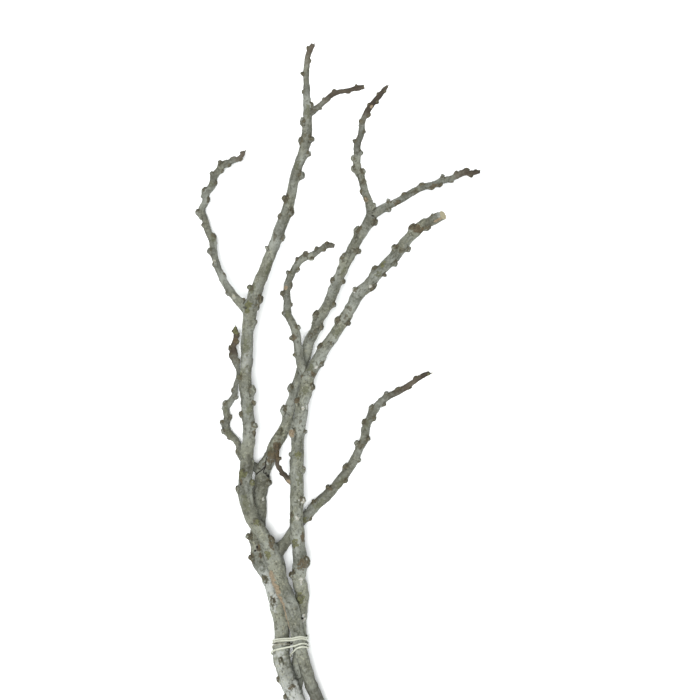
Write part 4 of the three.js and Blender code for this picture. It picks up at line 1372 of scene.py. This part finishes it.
def makeBark(name, look, groups):
    colours = barkColours
    amounts = barkAmounts
    material = bpy.data.materials.new(name)
    material.use_nodes = True
    tree = material.node_tree
    shader = tree.nodes["Principled BSDF"]
    place = putNode(tree, "ShaderNodeAttribute", {"attribute_name": "limbPlace"}).outputs["Vector"]
    around = putNode(tree, "ShaderNodeTexCoord").outputs["Object"]
    grain = useGroup(tree, groups["barkGrain"], {"Place": place, "Size": look["grain"]})

    def times(first, second):
        return calculate(tree, "MULTIPLY", first, second)

    def within(value, key):
        return ramp(tree, value, *barkRanges[key])

    # the clean bark: light on deep, with drifts of green-grey and flecks
    light = tuple(part * look["light"] for part in colours["light"][:3]) + (1,)
    colour = blendColour(tree, grain["Mottle"], colours["deep"], light)
    colour = blendColour(tree, times(grain["Fibre"], amounts["fibre"]), colour, light)
    colour = blendColour(tree, times(grain["Drift"], amounts["drift"]), colour, colours["drift"])
    fair = times(readMask(tree, "fair"), within(grain["Mottle"], "fairByMottle"))
    colour = blendColour(tree, fair, colour, colours["fair"])
    tone = times(readMask(tree, "tone"), within(grain["Mottle"], "toneByMottle"))
    colour = blendColour(tree, tone, colour, colours["toneDark"])
    colour = blendColour(tree, times(grain["Speck"], look["fleck"]), colour, colours["speckDarkAndShade"])
    colour = blendColour(tree, times(grain["Pore"], amounts["pore"]), colour, colours["speckLightAndHighlight"])
    crumb = times(grain["Crumb"], within(grain["Drift"], "crumbByDrift"))
    crumb = times(crumb, within(readMask(tree, "tone"), "crumbByTone"))
    colour = blendColour(tree, crumb, colour, colours["crumb"])

    # painted shade in the hollows, painted highlight on what stands out, red-brown on the young wood
    hollow = readMask(tree, "hollow")
    # painted shade: bark that lies under the even surface is darkened
    hollowShade = times(within(hollow, "hollowShade"), amounts["hollowShade"])
    colour = blendColour(tree, hollowShade, colour, colours["speckDarkAndShade"])
    # painted highlight: bark that stands out of the even surface is lightened
    wearAndPaintedLight = times(within(hollow, "wearAndPaintedLight"), amounts["wearAndPaintedLight"])
    colour = blendColour(tree, wearAndPaintedLight, colour, colours["speckLightAndHighlight"])
    fresh = blendColour(tree, grain["Mottle"], colours["young"], colours["youngLight"])
    youth = times(readMask(tree, "youth"), amounts["youth"])
    colour = blendColour(tree, youth, colour, fresh)

    cover = 0.0
    for mask, size, bite, bright, dim, strength in barkPatches:
        feeds = {"Place": around, "Cover": readMask(tree, mask), "Grain": size, "Bite": bite}
        patch = useGroup(tree, groups["patchEdge"], feeds)
        shade = blendColour(tree, patch["Shade"], colours[dim], colours[bright])
        amount = times(patch["Mask"], strength)
        colour = blendColour(tree, amount, colour, shade)
        if mask in ("lichen", "crust"):
            cover = calculate(tree, "MAXIMUM", cover, amount)
    feeds = {"Place": around, "Cover": readMask(tree, "knob"), **knobPatch}
    knob = useGroup(tree, groups["patchEdge"], feeds)
    shade = blendColour(tree, knob["Shade"], colours["knob"], colours["knobLight"])
    bare = calculate(tree, "SUBTRACT", 1.0, readMask(tree, "lichen"))
    colour = blendColour(tree, times(times(knob["Mask"], bare), amounts["knob"]), colour, shade)

    rings = useGroup(tree, groups["cutRings"], {"Place": place, "Spacing": ringSpacing})
    wood = blendColour(tree, within(rings["Ring"], "ring"), colours["wood"], colours["woodRing"])
    wood = blendColour(tree, times(rings["Check"], amounts["check"]), wood, colours["knob"])
    colour = blendColour(tree, within(readMask(tree, "cut"), "cut"), colour, wood)
    # holes and the fork's cracks are painted near black: painted shade of their insides
    colour = blendColour(tree, within(readMask(tree, "hole"), "hole"), colour, colours["hole"])
    tree.links.new(colour, shader.inputs["Base Color"])

    rough = calculate(tree, "MULTIPLY_ADD", grain["Speck"], amounts["roughSpread"])
    rough.node.inputs[2].default_value = look["roughness"]
    tree.links.new(rough, shader.inputs["Roughness"])
    shader.inputs["Specular IOR Level"].default_value = amounts["specular"]
    height = calculate(tree, "ADD", grain["Height"], times(cover, amounts["coverHeight"]))
    bump = putNode(tree, "ShaderNodeBump", None, {**barkBump, "Height": height})
    tree.links.new(bump.outputs["Normal"], shader.inputs["Normal"])
    return material


bandColours = {
    "cream": (0.43, 0.445, 0.37, 1),
    "wearAndPaintedLight": (0.25, 0.24, 0.185, 1),
    # dirt and painted shade on the thin strand
    "soiledAndShaded": (0.14, 0.125, 0.09, 1),
}

bandFinish = {
    "grain": 1.6,
    "stain": 0.45,
    "soilAndShade": 0.8,
    "roughness": 0.42,
    "roughSpread": 0.2,
    "bump": {"Strength": 0.35, "Distance": 0.0002},
}


def makeElastic(groups):
    material = bpy.data.materials.new("creamElastic")
    material.use_nodes = True
    tree = material.node_tree
    shader = tree.nodes["Principled BSDF"]
    around = putNode(tree, "ShaderNodeTexCoord").outputs["Object"]
    grain = useGroup(tree, groups["barkGrain"], {"Place": around, "Size": bandFinish["grain"]})
    stain = calculate(tree, "MULTIPLY", grain["Mottle"], bandFinish["stain"])
    colour = blendColour(tree, stain, bandColours["cream"], bandColours["wearAndPaintedLight"])
    # the thin strand over the middle stem is darkened, for dirt and as painted shade
    soiledAndShaded = calculate(tree, "MULTIPLY", readMask(tree, "wearAndPaintedLight"), bandFinish["soilAndShade"])
    colour = blendColour(tree, soiledAndShaded, colour, bandColours["soiledAndShaded"])
    tree.links.new(colour, shader.inputs["Base Color"])
    rough = calculate(tree, "MULTIPLY_ADD", grain["Fibre"], bandFinish["roughSpread"])
    rough.node.inputs[2].default_value = bandFinish["roughness"]
    tree.links.new(rough, shader.inputs["Roughness"])
    bump = putNode(tree, "ShaderNodeBump", None, {**bandFinish["bump"], "Height": grain["Height"]})
    tree.links.new(bump.outputs["Normal"], shader.inputs["Normal"])
    return material


def layFloor():
    clearSelection()
    bpy.ops.mesh.primitive_plane_add(size=studio["floorSize"] * mm, location=(0, 0, 0))
    floor = bpy.context.object
    floor.name = "paleFloor"
    material = bpy.data.materials.new("palePaper")
    material.use_nodes = True
    shader = material.node_tree.nodes["Principled BSDF"]
    shader.inputs["Base Color"].default_value = studio["floorColour"]
    shader.inputs["Roughness"].default_value = studio["floorRoughness"]
    shader.inputs["Specular IOR Level"].default_value = studio["floorSpecular"]
    floor.data.materials.append(material)


# ------------------------------------------------ the elastic band
# One closed loop. A stop is a stem, the degrees round it and a y, or a plain x, y, z.

bandShape = {
    "radius": 1.0,
    "lift": 0.12,  # clear of the bark
    "wearAndPaintedLight": (46, 54),  # the stops between which it is thin, soiled, and darkened as painted shade
    "thin": 0.7,
    "soilAndShadeReach": (4.5, 1.2),
    "steps": 6,
    "sections": 4,
}
bandStops = [
    ("left_stem", 0, -325.6), ("left_stem", 40, -323.8), ("left_stem", 75, -323),
    ("left_stem", 110, -324.6), ("left_stem", 145, -327.8),
    ("middle_stem", 20, -335.4), ("middle_stem", -15, -337.4), ("middle_stem", -50, -338),
    ("middle_stem", -90, -337.8), ("middle_stem", -130, -336.6), ("middle_stem", -160, -335),
    ("middle_stem", 180, -332.8), ("middle_stem", 150, -330.2), ("middle_stem", 120, -328),
    ("middle_stem", 98, -326.8), ("left_stem", 122, -321.8), ("left_stem", 90, -320),
    ("left_stem", 60, -319.4), ("left_stem", 30, -320.6), ("left_stem", 0, -322.3),
    ("right_stem", 0, -322.4), ("right_stem", -30, -322.4), ("right_stem", -60, -322.3),
    ("right_stem", -90, -322.2), ("middle_stem", -92, -321.2), ("middle_stem", -125, -320.8),
    ("middle_stem", -155, -320.5), ("middle_stem", 180, -320.2), ("middle_stem", 150, -318.6),
    ("middle_stem", 122, -317), ("left_stem", 120, -313.4), ("left_stem", 90, -312.2),
    ("left_stem", 60, -312), ("left_stem", 30, -313.2), ("left_stem", 0, -314.6),
    ("right_stem", 0, -314.9), ("right_stem", -30, -315.3), ("right_stem", -60, -315.7),
    ("right_stem", -88, -316.2), (-60, -317.8, 2.6), (-64, -320.5, 1.8), (-68, -323.4, 1.7),
    (-72, -326, 1.8), (-76, -328, 2.8), ("middle_stem", -122, -328.8),
    ("middle_stem", -150, -328.4), ("middle_stem", 180, -327), ("middle_stem", 150, -324.4),
    ("middle_stem", 120, -322.4), ("middle_stem", 90, -321.6), ("middle_stem", 60, -322),
    ("middle_stem", 30, -323), ("middle_stem", 4, -323.2),
    ("right_stem", 206, -321.6), ("right_stem", 228, -319.9), ("right_stem", 250, -319.3),
    ("right_stem", -90, -319.2), ("right_stem", -60, -318.6), ("right_stem", -30, -318),
    ("right_stem", 0, -317.0), ("left_stem", 0, -316.7), ("left_stem", 30, -315.3),
    ("left_stem", 60, -314.1), ("left_stem", 90, -314.3), ("left_stem", 120, -315.5),
    ("middle_stem", 122, -319.1), ("middle_stem", 150, -320.9), ("middle_stem", 180, -323.2),
    ("middle_stem", -155, -323.6), ("middle_stem", -125, -324.1), ("middle_stem", -92, -324.6),
    ("right_stem", -90, -325.6), ("right_stem", -60, -325.8), ("right_stem", -30, -325.8),
    ("right_stem", 0, -325.8),
]


def bandPoint(stop, walks):
    if not isinstance(stop[0], str):
        return (Vector(stop) + middle) * mm
    name, degrees, height = stop
    level = (height + middle.y) * mm
    station = min(walks[name], key=lambda here: abs(here["at"].y - level))
    lean = station["tangent"]
    centre = station["at"] + lean * ((level - station["at"].y) / lean.y)
    lift = (bandShape["lift"] + bandShape["radius"]) * mm
    wide = station["radius"] * math.hypot(1, lean.x / lean.y) + lift
    tall = station["radius"] * math.hypot(1, lean.z / lean.y) + lift
    angle = math.radians(degrees)
    return centre + Vector((wide * math.cos(angle), 0, tall * math.sin(angle)))


def stretchBand(walks):
    clearSelection()
    bpy.ops.curve.primitive_nurbs_circle_add()
    band = bpy.context.object
    band.name = "tieBand"
    band.data.splines.clear()
    spline = band.data.splines.new("BEZIER")
    spline.bezier_points.add(len(bandStops) - 1)
    thinStrandFrom, thinStrandTo = bandShape["wearAndPaintedLight"]
    for index, (point, stop) in enumerate(zip(spline.bezier_points, bandStops)):
        point.co = bandPoint(stop, walks)
        point.radius = bandShape["thin"] if thinStrandFrom < index < thinStrandTo else 1
        point.handle_left_type = "AUTO"
        point.handle_right_type = "AUTO"
    spline.use_cyclic_u = True
    spline.resolution_u = bandShape["steps"]
    band.data.dimensions = "3D"
    band.data.bevel_depth = bandShape["radius"] * mm
    band.data.bevel_resolution = bandShape["sections"]
    pick(band)
    bpy.ops.object.convert(target="MESH")
    band = bpy.context.object
    bpy.ops.object.shade_smooth()
    spots = readVertices(band)
    wearAndPaintedLight = np.zeros(len(spots))
    far, near = (reach * mm for reach in bandShape["soilAndShadeReach"])
    for stop in bandStops[thinStrandFrom + 1:thinStrandTo]:
        away = np.linalg.norm(spots - np.array(bandPoint(stop, walks)), axis=1)
        wearAndPaintedLight = np.maximum(wearAndPaintedLight, smoothStep(-away, -far, -near))
    writeMask(band, "wearAndPaintedLight", wearAndPaintedLight)
    return band


# ------------------------------------------------ building the bunch

setCamera()
setLights()
layFloor()
groups = {
    "barkGrain": makeBarkGrain(),
    "patchEdge": makePatchEdge(),
    "cutRings": makeCutRings(),
}
models = {
    "cup": modelTurned("cup", spurShape, ("root", "neck", "rim", "brow", "cup", "bud")),
    "bud": modelTurned("bud", budShape, ("root", "belly", "shoulder", "tip")),
    "swelling": modelSwelling(),
}
walks = {name: walkLimb(name) for name in limbs}
print("limbs walked and knobs modelled")

for branchName, names in branches.items():
    branch = growBranch(branchName, walks, models)
    measured = finishBranch(branch, branchName, walks)
    material = makeBark(branchName + "Bark", barkLooks[branchName], groups)
    pieces = splitBranch(branch, branchName, measured)
    for name, piece in pieces.items():
        piece.name = name + "_bark"
        piece.data.materials.clear()
        piece.data.materials.append(material)
        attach(piece, "root")
        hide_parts(name)
    count = sum(len(piece.data.polygons) for piece in pieces.values())
    print(branchName, "branch grown,", count, "faces in", len(pieces), "limbs")

for model in models.values():
    bpy.data.objects.remove(model)

band = stretchBand(walks)
band.data.materials.append(makeElastic(groups))
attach(band, "root")
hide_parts("tie_band")
print("band stretched,", len(band.data.polygons), "faces")
